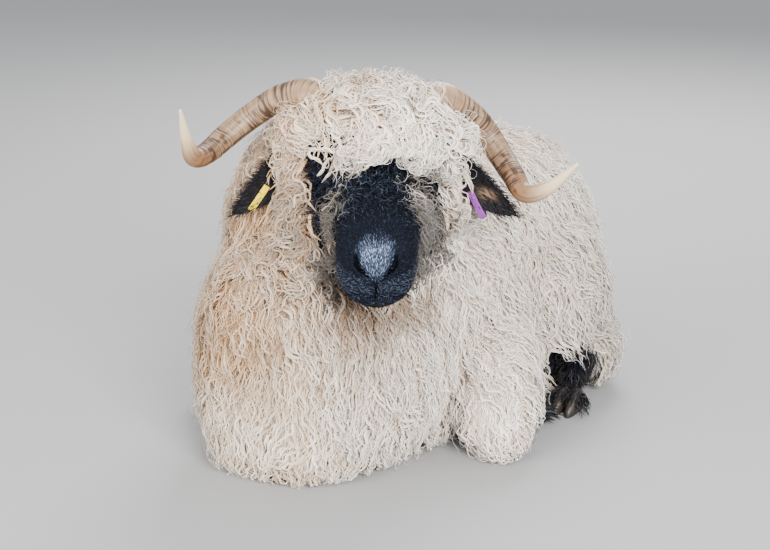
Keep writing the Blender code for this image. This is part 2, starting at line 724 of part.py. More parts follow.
def hooves(grow=0.0):
    """Name, shape and shade of each claw."""
    claws = []
    for word, mirror in (("left", 1), ("right", -1)):
        shift = np.array(RIGHT_LEG_SHIFT) if mirror < 0 else np.zeros(3)
        for kind, place, heading in (("fore", FORE_HOOF, 1), ("hind", HIND_HOOF, -1)):
            for claw, splay in (("inner", -1), ("outer", 1)):
                name = f"hoof_{kind}_{word}_{claw}"
                spot = np.array(place) - shift
                claws.append((name, claw_surface(spot, heading, mirror, splay * mirror, grow)))
    return claws


def trimmings(grow):
    """Everything that stands in or on the wool, larger by `grow`."""
    shapes = [shape for _, shape in hooves(grow)]
    for mirror, horn, ear, tag in ((-1, HORN_RIGHT, EAR_RIGHT, TAG_RIGHT),
                                   (1, HORN_LEFT, EAR_LEFT, TAG_LEFT)):
        shapes += [horn_surface(horn, mirror, grow), ear_surface(ear, mirror, grow),
                   eye_surface(mirror, grow)]
        shapes += tag_surfaces(tag, mirror, grow)
    return shapes


def staple(tree, root, lie, length, half_width, rise, flatness, sides, rises, widths, bend):
    """A tuft rooted in the core that follows its surface: `lie` turned aside by `bend`."""
    shorter = min(1.0, root[2] / length)
    step = length * shorter / (len(rises) - 1)
    half_width = half_width * math.sqrt(shorter)
    spot, way = Vector(root), Vector(lie)
    path, normals = [], []
    for share in rises:
        ground, normal = tree.find_nearest(spot)[:2]
        path.append(ground + normal * rise * share)
        normals.append(normal)
        way = way + Vector((0, 0, -0.25)) + normal.cross(way) * bend
        way -= normal * way.dot(normal)
        if way.length < 1e-6:
            way = Vector(lie)
        way.normalize()
        spot = ground + way * step
    path = np.array(path)
    verts, faces = tube(path, np.array(widths) * half_width, sides,
                        np.array(normals).mean(axis=0), flat=flatness)
    return lay_on_floor(verts, STAPLE_FLOOR), faces


def scatter(item, spacing, rng, allowed):
    """Points spread over a closed object, no two nearer than the spacing, with normals."""
    mesh = item.data
    mesh.calc_loop_triangles()
    corner = np.empty(3 * len(mesh.loop_triangles), int)
    mesh.loop_triangles.foreach_get("vertices", corner)
    place = np.empty(3 * len(mesh.vertices))
    mesh.vertices.foreach_get("co", place)
    triangle = place.reshape(-1, 3)[corner.reshape(-1, 3)]
    cross = np.cross(triangle[:, 1] - triangle[:, 0], triangle[:, 2] - triangle[:, 0])
    area = np.linalg.norm(cross, axis=1)
    pick = rng.choice(len(area), 9000, p=area / area.sum())
    u, v = rng.random((2, 9000, 1))
    fold = u + v > 1
    u, v = np.where(fold, 1 - u, u), np.where(fold, 1 - v, v)
    spots = (triangle[pick, 0] + u * (triangle[pick, 1] - triangle[pick, 0])
             + v * (triangle[pick, 2] - triangle[pick, 0]))
    normals = cross[pick] / area[pick, None]
    kept, lift = [], []
    for spot, normal in zip(spots, normals):
        if not allowed(spot, normal):
            continue
        if kept and np.min(np.linalg.norm(np.array(kept) - spot, axis=1)) < spacing:
            continue
        kept.append(spot)
        lift.append(normal)
    return np.array(kept), np.array(lift)


def head_place(spots):
    """Places in the head frame (side, up, back) of world points."""
    side, up, out = head_axes()
    reach = np.atleast_2d(spots) - np.array(MUZZLE_TIP)
    return np.stack((reach @ side, reach @ up, -reach @ out), 1)


def on_head(spot):
    """True where the wool belongs to the forelock and cheeks."""
    side, up, back = head_place(spot)[0]
    return abs(side) < 0.17 and up > -0.100 and back < 0.300


def coat_shapes(core):
    """All clumps of the fleece and locks of the head."""
    rng = np.random.default_rng(SEED)
    tree = BVHTree.FromObject(core, bpy.context.evaluated_depsgraph_get())
    bare = surface_tree([head_surface()])
    ears = surface_tree([ear_surface(EAR_RIGHT, -1), ear_surface(EAR_LEFT, 1)])
    feet = surface_tree([shape for _, shape in hooves()])

    def woolly(spot, normal):
        side, up, back = head_place(spot)[0]
        grown = (bare.find_nearest(Vector(spot))[3] > 0.004
                 or (back > 0.185 and up > 0.038) or (back > 0.165 and up < -0.01))
        return (grown and feet.find_nearest(Vector(spot))[3] > 0.045
                and spot[2] > STAPLE_LOWEST and normal[2] > -0.75)

    def fleece(spot, normal):
        return woolly(spot, normal) and not on_head(spot)

    def forelock(spot, normal):
        return (woolly(spot, normal) and on_head(spot)
                and ears.find_nearest(Vector(spot))[3] > 0.012)

    clumps, locks = [], []
    spots, normals = scatter(core, CLUMP_SPACING, rng, fleece)
    for spot, normal in zip(spots, normals):
        centre = np.interp(spot[1], [row[0] for row in TORSO_STATIONS],
                           [row[3] for row in TORSO_STATIONS])
        aside = np.clip((spot[0] - centre) / SPINE_WIDTH, -1, 1)
        lie = np.array((aside * 0.7, 0.9 - 0.65 * abs(aside), -0.9 * abs(aside)))
        if spot[1] < -0.34:
            lie = np.array((0.25 * np.sign(spot[0]), -0.3, -0.9))
        size = rng.uniform(0.88, 1.12)
        clumps.append(staple(tree, spot, lie - normal * (lie @ normal), CLUMP_LENGTH * size,
                             CLUMP_HALF_WIDTH * size, CLUMP_RISE * rng.uniform(0.85, 1.2),
                             CLUMP_FLATNESS, CLUMP_SIDES, CLUMP_RISES, CLUMP_WIDTHS,
                             rng.uniform(-0.45, 0.45)))
    spots, normals = scatter(core, LOCK_SPACING, rng, forelock)
    crown = head_points(WHORL)[0]
    for spot, normal in zip(spots, normals):
        lie = spot - crown
        lie = lie / np.linalg.norm(lie) + np.array((0, 0, -0.4))
        size = rng.uniform(0.85, 1.15)
        lock = staple(tree, spot, lie - normal * (lie @ normal), LOCK_LENGTH * size,
                      LOCK_HALF_WIDTH * size, LOCK_RISE * rng.uniform(0.8, 1.2),
                      LOCK_FLATNESS, LOCK_SIDES, LOCK_RISES, LOCK_WIDTHS,
                      rng.uniform(-0.5, 0.5))
        if min(ears.find_nearest(Vector(vert))[3] for vert in lock[0]) > LOCK_CLEARANCE:
            locks.append(lock)
    return clumps, locks


def helpers(shapes):
    """Objects for a list of shapes."""
    return [solid("piece", shape) for shape in shapes]


def build():
    """Model the ewe whole, part it into nodes and add what it carries."""
    fleece = material("fleece", (0.78, 0.68, 0.55), 0.9)
    skin = material("head", (0.012, 0.014, 0.02), 0.75)
    velvet = material("ear", (0.015, 0.015, 0.017), 0.8)
    keratin = material("horn", (0.62, 0.45, 0.29), 0.5)
    dark = material("hoof", (0.09, 0.065, 0.05), 0.55)
    eye = material("eye", (0.18, 0.09, 0.03), 0.15)
    tags = {"left": material("tag_purple", (0.30, 0.12, 0.50), 0.4),
            "right": material("tag_yellow", (0.85, 0.75, 0.03), 0.4)}

    core = solid("core", head_surface())
    combine(core, helpers(core_shapes(CORE_INSET)), "UNION")
    clumps, locks = coat_shapes(core)
    remove([core])
    first, *others = core_shapes(CORE_INSET) + clumps
    wool = combine(solid("wool", first), helpers(others), "UNION")
    simplify(wool, FLEECE_DETAIL, FLEECE_TRIANGLES)
    combine(wool, helpers(locks), "UNION")

    clearings = []
    for mirror in (1, -1):
        centre = head_points(np.array(EYE_CENTRE) * (mirror, 1, 1))[0]
        reach = np.array((0.0, 0.5, 1.0))[:, None] * 0.13
        clearings.append(tube(centre + gaze(mirror) * reach,
                              EYE_CLEARING * np.array((0.7, 1.2, 1.7)), 10, head_axes()[1]))
    head = solid("head", head_surface())
    combine(head, helpers(clearings), "DIFFERENCE")
    combine(head, helpers([lid_surface(1), lid_surface(-1)]), "UNION")
    combine(head, helpers(trimmings(GAP) + face_grooves()), "DIFFERENCE")
    finish_node(keep_largest(head), "head", skin)
    cutters = [head_surface(GAP), lid_surface(1, GAP), lid_surface(-1, GAP),
               block((-1.0, -1.0, -0.1), (1.0, 1.0, 0.0))]
    combine(wool, helpers(cutters + clearings + trimmings(GAP)), "DIFFERENCE")

    cuts, spare = zones(0.0), zones(GAP)
    rest = wool
    for name in cuts:
        node = copy_of(rest, name)
        combine(node, helpers([cuts[name]]), "INTERSECT")
        combine(rest, helpers([spare[name]]), "DIFFERENCE")
        finish_node(keep_largest(node), name, fleece)
    finish_node(keep_largest(rest), "torso", fleece)

    for name, shape in hooves():
        finish_node(solid(name, shape), name, dark)
    for word, mirror, horn, ear, tag in (("right", -1, HORN_RIGHT, EAR_RIGHT, TAG_RIGHT),
                                         ("left", 1, HORN_LEFT, EAR_LEFT, TAG_LEFT)):
        finish_node(solid("horn", horn_surface(horn, mirror)), f"horn_{word}", keratin)
        ear_node = solid("ear", ear_surface(ear, mirror))
        combine(ear_node, helpers(tag_surfaces(tag, mirror, GAP)), "DIFFERENCE")
        finish_node(keep_largest(ear_node), f"ear_{word}", velvet)
        finish_node(solid("eye", eye_surface(mirror)), f"eye_{word}", eye)
        strap, pin = tag_surfaces(tag, mirror)
        tag_node = combine(solid("tag", strap), helpers([pin]), "UNION")
        finish_node(tag_node, f"ear_tag_{word}", tags[word])


for item in list(bpy.data.objects):
    bpy.data.objects.remove(item)
build()
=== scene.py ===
"""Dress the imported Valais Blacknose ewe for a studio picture.

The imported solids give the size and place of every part. One skin is laid inside them.
The wool, the forelock and the short hair grow from it as thin closed strands, and the
horns, ears, eyes, tags and claws stand in for their plainer solids. Metres, +Z up, the
head end at -Y and the ewe's own left side at +X. In the head frame a place is its side
(left), its height above the muzzle's tip (up) and its way back from the tip (back).
"""
import math

import bpy
import numpy as np
from bpy.props import FloatProperty, FloatVectorProperty, IntProperty, PointerProperty
from mathutils import Matrix, Vector
from mathutils.bvhtree import BVHTree


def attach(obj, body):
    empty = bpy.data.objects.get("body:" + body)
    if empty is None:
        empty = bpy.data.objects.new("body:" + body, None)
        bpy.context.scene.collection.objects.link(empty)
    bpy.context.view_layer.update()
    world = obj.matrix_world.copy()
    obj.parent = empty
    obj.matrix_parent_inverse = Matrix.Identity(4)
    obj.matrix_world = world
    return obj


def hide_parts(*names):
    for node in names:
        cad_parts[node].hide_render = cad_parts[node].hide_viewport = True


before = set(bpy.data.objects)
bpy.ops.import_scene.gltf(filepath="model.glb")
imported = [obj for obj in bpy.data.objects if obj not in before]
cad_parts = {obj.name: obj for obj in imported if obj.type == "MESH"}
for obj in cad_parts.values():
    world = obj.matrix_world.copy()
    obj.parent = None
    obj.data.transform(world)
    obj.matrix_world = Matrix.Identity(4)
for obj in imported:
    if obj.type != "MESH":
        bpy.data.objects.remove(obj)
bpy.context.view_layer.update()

bl_info = {
    "name": "Blacknose Ewe",
    "version": (1, 0, 0),
    "blender": (4, 5, 0),
    "location": "3D View > Sidebar > Ewe",
    "description": "Skin, wool, horns and fittings of a lying Valais Blacknose ewe",
    "category": "Object",
}

SEED = 11

# How far the skin lies inside the tips of the wool
CORE_INSET = 0.036
# Edge of the blocks that fuse the bodies, strength and rounds of the smoothing after it
FUSE_SIZE, SOFTEN_SHARE, SOFTEN_ROUNDS = 0.0075, 0.6, 8
# Lattice cells for distances from body and face, and how far they reach round the body
BODY_CELL, FACE_CELL, FIELD_REACH = 0.013, 0.008, 0.075

# Torso over the wool: along Y, half width, height, centre X
TORSO_FRONT, TORSO_REAR = -0.455, 0.425
TORSO_BLUNTNESS, TORSO_FULLNESS = 0.80, 0.43
WIDEST_HEIGHT = 0.17
TORSO_STATIONS = ((-0.455, 0.172, 0.365, 0.000), (-0.30, 0.190, 0.400, 0.002),
                  (-0.14, 0.204, 0.430, 0.004), (0.05, 0.213, 0.434, 0.010),
                  (0.22, 0.216, 0.428, 0.018), (0.425, 0.190, 0.385, 0.026))
# Neck over the wool: X, Y, Z, radius
NECK_STATIONS = ((-0.020, -0.130, 0.240, 0.180), (0.002, -0.190, 0.315, 0.188),
                 (0.048, -0.238, 0.380, 0.170), (0.092, -0.266, 0.425, 0.126))

# Head frame and face: back from the tip, half width, height above, depth below the axis
MUZZLE_TIP = (0.2006, -0.4326, 0.3443)
HEAD_YAW, HEAD_PITCH = 30.0, 22.0
HEAD_STATIONS = ((-0.002, 0.020, 0.006, 0.036), (0.006, 0.037, 0.022, 0.052),
                 (0.022, 0.049, 0.034, 0.062), (0.046, 0.054, 0.042, 0.066),
                 (0.078, 0.052, 0.048, 0.064), (0.112, 0.056, 0.054, 0.066),
                 (0.148, 0.068, 0.064, 0.072), (0.185, 0.068, 0.070, 0.074),
                 (0.212, 0.056, 0.060, 0.060), (0.228, 0.034, 0.038, 0.036))
MUZZLE_LEAN, LEAN_LENGTH, LEAN_CHIN = 0.45, 0.110, -0.036
FACE_RINGS, FACE_SIDES = 190, 176
POLL_CENTRE, POLL_RADII = (-0.008, 0.034, 0.235), (0.158, 0.114, 0.106)
CHEEK_CENTRE, CHEEK_RADII = (0.092, -0.028, 0.212), (0.064, 0.084, 0.082)
EYE_CENTRE, EYE_RADIUS = (0.056, 0.022, 0.146), 0.0135
WHORL = (0.0, 0.080, 0.330)

# Grooves of the face in the head frame (side, up, back)
NOSTRIL = ((0.027, 0.016, 0.010), (0.024, 0.006, 0.004), (0.015, -0.003, 0.000),
           (0.003, -0.009, -0.006))
PHILTRUM = ((0.0, -0.010, -0.006), (0.0, -0.020, -0.012), (0.0, -0.030, -0.016))
MOUTH = ((0.053, -0.022, 0.046), (0.049, -0.030, 0.022), (0.030, -0.034, -0.002),
         (0.0, -0.031, -0.016))

# Horns: centre line in the head frame (side, up, back) and radius, root to tip
HORN_RIGHT = ((0.036, 0.062, 0.226, 0.024), (0.084, 0.099, 0.261, 0.0225),
              (0.132, 0.083, 0.287, 0.0185), (0.176, 0.049, 0.295, 0.0170),
              (0.213, 0.030, 0.271, 0.0162), (0.239, 0.026, 0.232, 0.0145),
              (0.254, 0.038, 0.203, 0.0125), (0.259, 0.080, 0.183, 0.0080),
              (0.262, 0.135, 0.173, 0.0022))
HORN_LEFT = ((0.036, 0.062, 0.226, 0.024), (0.080, 0.097, 0.260, 0.0225),
             (0.125, 0.062, 0.279, 0.0185), (0.150, 0.027, 0.284, 0.0172),
             (0.170, 0.006, 0.260, 0.0162), (0.187, -0.002, 0.221, 0.0148),
             (0.203, -0.008, 0.185, 0.0128), (0.232, 0.020, 0.159, 0.0092),
             (0.268, 0.069, 0.146, 0.0022))
HORN_FLATNESS = 0.82

# Ears and their tags: centre lines in the head frame (side, up, back), root to tip
EAR_RIGHT = ((0.056, 0.022, 0.228), (0.102, 0.024, 0.234), (0.140, 0.008, 0.214),
             (0.172, -0.016, 0.190), (0.202, -0.040, 0.178))
EAR_LEFT = ((0.056, 0.020, 0.226), (0.100, 0.016, 0.228), (0.132, -0.002, 0.206),
            (0.162, -0.020, 0.186), (0.190, -0.035, 0.172))
EAR_WIDTH, EAR_THICKNESS = 0.050, 0.004
TAG_LENGTH, TAG_WIDTH, TAG_THICKNESS = 0.043, 0.0092, 0.0018
TAG_OPENING, TAG_PIN_RADIUS = 0.0125, 0.0026
TAG_RIGHT = ((0.156, -0.006, 0.200), (0.184, -0.042, 0.181))
TAG_LEFT = ((0.128, -0.014, 0.200), (0.150, -0.052, 0.180))
HORNS = (("right", -1, HORN_RIGHT), ("left", 1, HORN_LEFT))
EARS = (("right", -1, EAR_RIGHT, TAG_RIGHT, "tag_yellow"),
        ("left", 1, EAR_LEFT, TAG_LEFT, "tag_purple"))
# Middle of the dark hollow beside an eye, from the brow to the cheek
EYE_HOLLOW = ((0.080, 0.092, 0.148), (0.081, 0.050, 0.138), (0.077, 0.010, 0.136),
              (0.070, -0.022, 0.126))

# Legs over their wool: X, Y, Z, radius; written for the left side
FORELEG = ((0.140, -0.020, 0.130, 0.085), (0.190, -0.080, 0.095, 0.082),
           (0.232, -0.140, 0.062, 0.066), (0.252, -0.180, 0.036, 0.044))
FORE_CANNON = ((0.250, -0.175, 0.036, 0.036), (0.240, -0.100, 0.030, 0.028),
               (0.236, -0.052, 0.026, 0.022))
HIND_CANNON = ((0.226, 0.205, 0.064, 0.056), (0.238, 0.150, 0.060, 0.046),
               (0.246, 0.100, 0.052, 0.032), (0.252, 0.074, 0.042, 0.022))
THIGH_CENTRE, THIGH_RADII = (0.160, 0.150, 0.135), (0.122, 0.165, 0.128)
FORE_HOOF, HIND_HOOF = (0.235, -0.018, 0.0), (0.262, 0.046, 0.0)
RIGHT_LEG_SHIFT = (0.045, 0.012, 0.0)
CLAW_LENGTH, CLAW_WIDTH, CLAW_HEIGHT, CLAW_SPLAY = 0.052, 0.019, 0.034, 0.011
TAIL = ((0.022, 0.350, 0.320, 0.034), (0.026, 0.408, 0.296, 0.042),
        (0.029, 0.442, 0.235, 0.042), (0.031, 0.452, 0.155, 0.034),
        (0.031, 0.448, 0.090, 0.020))

# Centre and radii of the stained wool and painted shadow under the chin and of the dark spot on
# the knee
STAIN_AND_SHADOW_NEAR = ((0.142, -0.335, 0.262), (0.092, 0.125, 0.050))
STAIN_AND_SHADOW_WIDE = ((0.115, -0.385, 0.245), (0.125, 0.150, 0.080))
KNEE_SPOT = ((0.278, -0.200, 0.014), (0.013, 0.020, 0.011))

# Colours under and of the short hair, and how much lighter its lit hairs are
FACE_SKIN, NOSE_SKIN = np.array(((0.0018, 0.0028, 0.0060), (0.016, 0.022, 0.038)))
FACE_HAIR, FACE_LIGHT = np.array(((0.0015, 0.0026, 0.0065), (0.021, 0.031, 0.060)))
BROW_LIGHT, NOSE_LIGHT = np.array(((0.055, 0.070, 0.100), (0.32, 0.44, 0.76)))
LIP_LIGHT, CLAW_TONE = np.array(((0.055, 0.075, 0.125), (0.030, 0.021, 0.016)))
FOOT_HAIR, FOOT_LIGHT = np.array(((0.005, 0.006, 0.009), (0.06, 0.06, 0.07)))
EAR_SKIN, EAR_INSIDE = np.array(((0.006, 0.006, 0.008), (0.20, 0.12, 0.07)))
# Grey of the wool near the face, partly painted shade; brown of dirty wool
CHEEK_GREY_AND_SHADE, DIRTY_WOOL = np.array(((0.078, 0.066, 0.058), (0.20, 0.118, 0.070)))
IRIS, IRIS_RIM = np.array(((0.055, 0.026, 0.008), (0.02, 0.012, 0.01)))
EYE_WHITE, PUPIL = np.array(((0.02, 0.014, 0.012), (0.004, 0.004, 0.006)))
PURPLE, YELLOW = (0.19, 0.035, 0.24), (0.70, 0.50, 0.0)

FACE_HAIRS, BROW_HAIRS, FOOT_HAIRS, EAR_HAIRS = 9000, 3300, 2400, 1500
CLAW_HAIRS, LESS = ((170, 1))
# Edge of a strand's patch on the unwrap of the skin, size of the fibres that show in a
# lock, and tones of the three sides of a strand
PATCH, FIBRE_WIDTH, FIBRE_LENGTH = 0.003, 0.00062, 0.022
SIDE_TONES = np.array(((1.05, 1.05, 1.05), (0.88, 0.83, 0.76), (1.0, 0.99, 0.97)))

FLOOR_GAP = 0.002
FLESH_NODES = ("torso", "neck", "head", "forelock", "tail", "foreleg_left",
               "foreleg_right", "hindleg_left", "hindleg_right")
PIECE_TRIANGLES = 190000

# Camera of the photograph: place, heading, lens and sensor width
CAMERA_PLACE = (1.300, -2.25166605, 0.990)
CAMERA_HEADING = (-0.49013564, 0.8211491, -0.2923717)
CAMERA_LENS, CAMERA_SENSOR = 80.0, 36.0

# Lights: place, size and share of the key light's power; and what they aim at
LIGHTS = (("key", (2.4, -2.3, 1.8), 1.4, 1.0), ("fill", (-0.9, -2.9, 1.1), 1.8, 0.4),
          ("rim", (-0.6, 2.2, 2.2), 1.5, 0.5))
LIGHT_AIM = (0.05, -0.15, 0.25)
SURROUND_COLOUR, SURROUND_STRENGTH = (0.80, 0.83, 0.88, 1), 1.42
FLOOR_REACH = 6.0

grown = {}


def need_skin():
    """Stop where the skin that hair and wool grow from hasn't been laid."""
    if "body" not in grown:
        raise RuntimeError("Lay the skin first")


def unit(vectors):
    """Vectors scaled to length one."""
    return vectors / np.maximum(np.linalg.norm(vectors, axis=-1, keepdims=True), 1e-9)


def smooth(values, low, high):
    """0 below low, 1 above high and 3t^2 - 2t^3 between them."""
    t = np.clip((values - low) / (high - low), 0.0, 1.0)
    return t * t * (3 - 2 * t)


def fall(values, low, high):
    """1 below low and 0 above high: one minus smooth."""
    return 1 - smooth(values, low, high)


def hump(values, middle, width):
    """A bell round a middle: e to the power of minus ((v - middle) / width)^2."""
    return np.exp(-((values - middle) / width) ** 2)


def power(values, exponent):
    """A power that keeps the sign: sign(v) |v|^exponent."""
    return np.sign(values) * np.abs(values) ** exponent


def turns(count):
    """Angles spread evenly round a circle."""
    return np.arange(count) * (2 * math.pi / count)


def head_axes():
    """Unit vectors to the ewe's left, up from the face and out through the muzzle."""
    yaw, pitch = math.radians(HEAD_YAW), math.radians(HEAD_PITCH)
    side = np.array((math.cos(yaw), math.sin(yaw), 0.0))
    out = np.array((math.sin(yaw) * math.cos(pitch), -math.cos(yaw) * math.cos(pitch),
                    -math.sin(pitch)))
    return side, np.cross(out, side), out


def head_points(local):
    """World places of points given in the head frame as side, up and back."""
    side, up, out = head_axes()
    local = np.asarray(local, float)
    return (np.array(MUZZLE_TIP) + local[..., :1] * side + local[..., 1:2] * up
            - local[..., 2:3] * out)


def on_side(local, mirror):
    """World places of head-frame points as they are (1), or mirrored to the right (-1)."""
    return head_points(np.asarray(local, float) * (mirror, 1, 1))


def head_place(places):
    """Places in the head frame (side, up, back) of world points."""
    side, up, out = head_axes()
    reach = np.asarray(places) - np.array(MUZZLE_TIP)
    return np.stack((reach @ side, reach @ up, -reach @ out), -1)


def one_side(local):
    """Places in the head frame with their side made positive."""
    return np.abs(local) * (1, 0, 0) + local * (0, 1, 1)


def within(local, back, up, side):
    """1 in a region of the head and 0 outside it, each edge a pair of fading limits."""
    return (fall(local[:, 2], *back) * smooth(local[:, 1], *up)
            * fall(np.abs(local[:, 0]), *side))


def on_head(local, back, up, side):
    """True before `back`, above `up` and nearer the middle than `side`."""
    return (local[:, 2] < back) & (local[:, 1] > up) & (np.abs(local[:, 0]) < side)


def leg_place(places, mirror):
    """Points of the left legs as they are (1), or set inwards and mirrored to the right (-1)."""
    shift = np.array(RIGHT_LEG_SHIFT) if mirror < 0 else np.zeros(3)
    return (np.asarray(places, float) - shift) * (mirror, 1.0, 1.0)


def blend(stations, samples):
    """A smooth curve through the rows of a table, Catmull-Rom, at evenly spread samples."""
    rows = np.asarray(stations, float)
    rows = np.vstack((2 * rows[0] - rows[1], rows, 2 * rows[-1] - rows[-2]))
    place = np.linspace(0.0, len(rows) - 3, samples)
    first = np.minimum(place.astype(int), len(rows) - 4)
    t = (place - first)[:, None]
    a, b, c, d = rows[first], rows[first + 1], rows[first + 2], rows[first + 3]
    return 0.5 * (2 * b + (c - a) * t + (2 * a - 5 * b + 4 * c - d) * t ** 2
                  + (3 * b - a - 3 * c + d) * t ** 3)


def ring_faces(rows, columns):
    """Quads between neighbouring rings and a fan to the point at each end."""
    row = np.arange(rows - 1)[:, None] * columns
    k = np.arange(columns)
    after = (k + 1) % columns
    quads = np.stack((row + k, row + after, row + columns + after, row + columns + k), -1)
    first, last, base = rows * columns, rows * columns + 1, (rows - 1) * columns
    fan = np.stack((np.full(columns, first), after, k), 1)
    cap = np.stack((np.full(columns, last), base + k, base + after), 1)
    return [quads.reshape(-1, 4), np.vstack((fan, cap))]


def shell(rings, start, end):
    """A closed body: rings of equal count with a point at each end, wound outwards."""
    verts = np.vstack((rings.reshape(-1, 3), start, end))
    groups = ring_faces(*rings.shape[:2])
    a, b, c = (verts[groups[0][:, k]] - verts.mean(0) for k in range(3))
    if np.sum(a * np.cross(b, c)) < 0:
        groups = [group[:, ::-1] for group in groups]
    return verts, groups


def path_frames(path, up):
    """Two unit vectors across a path at each of its points, the first near `up`."""
    tangent = unit(np.gradient(path, axis=0))
    across = unit(np.cross(tangent, np.asarray(up, float)))
    return np.cross(across, tangent), across, tangent


def tube(path, radii, sides, up, flat=1.0):
    """A closed tube: ring = path + r (cos a * across + flat * sin a * high)."""
    high, across, tangent = path_frames(path, up)
    angle = turns(sides)
    radii = np.asarray(radii, float)[:, None, None]
    rings = (path[:, None] + radii * (np.cos(angle)[None, :, None] * across[:, None]
             + flat * np.sin(angle)[None, :, None] * high[:, None]))
    return shell(rings, path[0] - tangent[0] * radii[0, 0] * 0.6,
                 path[-1] + tangent[-1] * radii[-1, 0] * 0.6)


def round_body(centre, radii, axes, rows=24, sides=32):
    """An ellipsoid: centre + (a sin t cos u, b sin t sin u, c cos t) along three axes."""
    turn = np.linspace(0, math.pi, rows + 2)[1:-1][:, None]
    angle = turns(sides)[None]
    sphere = np.stack((np.sin(turn) * np.cos(angle), np.sin(turn) * np.sin(angle),
                       np.cos(turn) + 0 * angle), 2) * np.asarray(radii, float)
    tip = np.asarray(axes, float)[2] * radii[2]
    return shell(sphere @ np.asarray(axes, float) + centre, centre + tip, centre - tip)


def torso_body(inset):
    """Blunt rounded loaf: x = X + W r |cos|^a, z from the floor to the back, r = sin^f."""
    turn = np.linspace(0, math.pi, 62)[1:-1]
    middle, half = (TORSO_FRONT + TORSO_REAR) / 2, (TORSO_REAR - TORSO_FRONT) / 2 - inset
    y = middle - half * power(np.cos(turn), TORSO_BLUNTNESS)
    swell = np.sin(turn) ** TORSO_FULLNESS
    table = np.array(TORSO_STATIONS)
    width = (np.interp(y, table[:, 0], table[:, 1]) - inset) * swell
    height = (np.interp(y, table[:, 0], table[:, 2]) - inset - WIDEST_HEIGHT) * swell
    centre = np.interp(y, table[:, 0], table[:, 3])
    angle = turns(72)
    c, s = np.cos(angle), np.sin(angle)
    across = power(c, np.where(s > 0, 0.92, 0.70))
    rise = np.where(s > 0, np.abs(s) ** 0.92, -np.abs(s) ** 0.62)
    depth = 1.16 * WIDEST_HEIGHT * np.sin(turn) ** (TORSO_FULLNESS / 2)
    rings = np.empty((60, 72, 3))
    rings[..., 0] = centre[:, None] + width[:, None] * across
    rings[..., 1] = y[:, None]
    rings[..., 2] = WIDEST_HEIGHT + np.where(s > 0, height[:, None], depth[:, None]) * rise
    return shell(rings, (centre[0], middle - half, WIDEST_HEIGHT),
                 (centre[-1], middle + half, WIDEST_HEIGHT))


def leg_bodies(inset, mirror):
    """The thigh, forearm and cannons of one side as closed bodies."""
    bodies = [round_body(leg_place(THIGH_CENTRE, mirror), np.array(THIGH_RADII) - inset,
                         ((1, 0, 0), (0, 0.2, 0.98), (0, 0.98, -0.2)))]
    for piece in (FORELEG, FORE_CANNON, HIND_CANNON):
        rows = blend(piece, 20)
        radii = np.maximum(rows[:, 3] - inset, 0.6 * rows[:, 3])
        bodies.append(tube(leg_place(rows[:, :3], mirror), radii, 20, (0, 0, 1)))
    return bodies


def flesh_bodies(inset):
    """All bodies that the wool grows on, `inset` inside its tips."""
    side, up, out = head_axes()
    rows = blend(NECK_STATIONS, 24)
    bodies = [torso_body(inset), tube(rows[:, :3], rows[:, 3] - inset, 40, (0.3, 0.5, 0.8))]
    rows = blend(TAIL, 24)
    bodies.append(tube(rows[:, :3], np.maximum(rows[:, 3] - inset, 0.5 * rows[:, 3]), 20,
                       (1, 0, 0)))
    for mirror in (1, -1):
        bodies += leg_bodies(inset, mirror)
        bodies.append(round_body(on_side(CHEEK_CENTRE, mirror),
                                 np.array(CHEEK_RADII) - inset, (side, up, -out)))
    bodies.append(round_body(head_points(POLL_CENTRE), np.array(POLL_RADII) - inset,
                             (side, up, -out)))
    return bodies


def add_mesh(name, verts, groups):
    """A smooth mesh object at the origin from vertices and arrays of quads or triangles."""
    mesh = bpy.data.meshes.new(name)
    sizes = np.concatenate([np.full(len(group), group.shape[1]) for group in groups])
    corners = np.concatenate([group.ravel() for group in groups]).astype(np.int32)
    starts = np.concatenate(([0], np.cumsum(sizes)[:-1])).astype(np.int32)
    mesh.vertices.add(len(verts))
    mesh.vertices.foreach_set("co", np.asarray(verts, np.float32).ravel())
    mesh.loops.add(len(corners))
    mesh.loops.foreach_set("vertex_index", corners)
    mesh.polygons.add(len(sizes))
    mesh.polygons.foreach_set("loop_start", starts)
    mesh.update(calc_edges=True)
    mesh.shade_smooth()
    made = bpy.data.objects.new(name, mesh)
    bpy.context.scene.collection.objects.link(made)
    return made


def join(bodies):
    """Vertices and faces of several bodies as one list each."""
    verts, groups, base = [], [], 0
    for part_verts, part_groups in bodies:
        verts.append(part_verts)
        groups += [group + base for group in part_groups]
        base += len(part_verts)
    return np.vstack(verts), groups


def paint(made, colours):
    """Store one colour a vertex."""
    layer = made.data.color_attributes.new("tint", "FLOAT_COLOR", "POINT")
    rgba = np.ones((len(colours), 4), np.float32)
    rgba[:, :3] = colours
    layer.data.foreach_set("color", rgba.ravel())


def mesh_points(item):
    """The vertices of an object's mesh as an array."""
    places = np.empty(3 * len(item.data.vertices), np.float32)
    item.data.vertices.foreach_get("co", places)
    return places.reshape(-1, 3).astype(float)


def faces_of(item):
    """An object's faces as arrays of quads and triangles."""
    mesh = item.data
    corner = np.empty(len(mesh.loops), np.int32)
    mesh.loops.foreach_get("vertex_index", corner)
    start, total = (np.empty(len(mesh.polygons), np.int32) for _ in range(2))
    mesh.polygons.foreach_get("loop_start", start)
    mesh.polygons.foreach_get("loop_total", total)
    return [corner[start[total == n][:, None] + np.arange(n)] for n in (3, 4)
            if np.any(total == n)]


def move_points(item, places):
    """Move a mesh's vertices to places, none of them below the gap over the floor."""
    places[:, 2] = np.maximum(places[:, 2], FLOOR_GAP)
    item.data.vertices.foreach_set("co", places.astype(np.float32).ravel())


def settle(item):
    """Apply an object's modifiers to its mesh."""
    view = bpy.context.evaluated_depsgraph_get()
    view.update()
    result = bpy.data.meshes.new_from_object(item.evaluated_get(view))
    item.modifiers.clear()
    old, item.data = item.data, result
    bpy.data.meshes.remove(old)


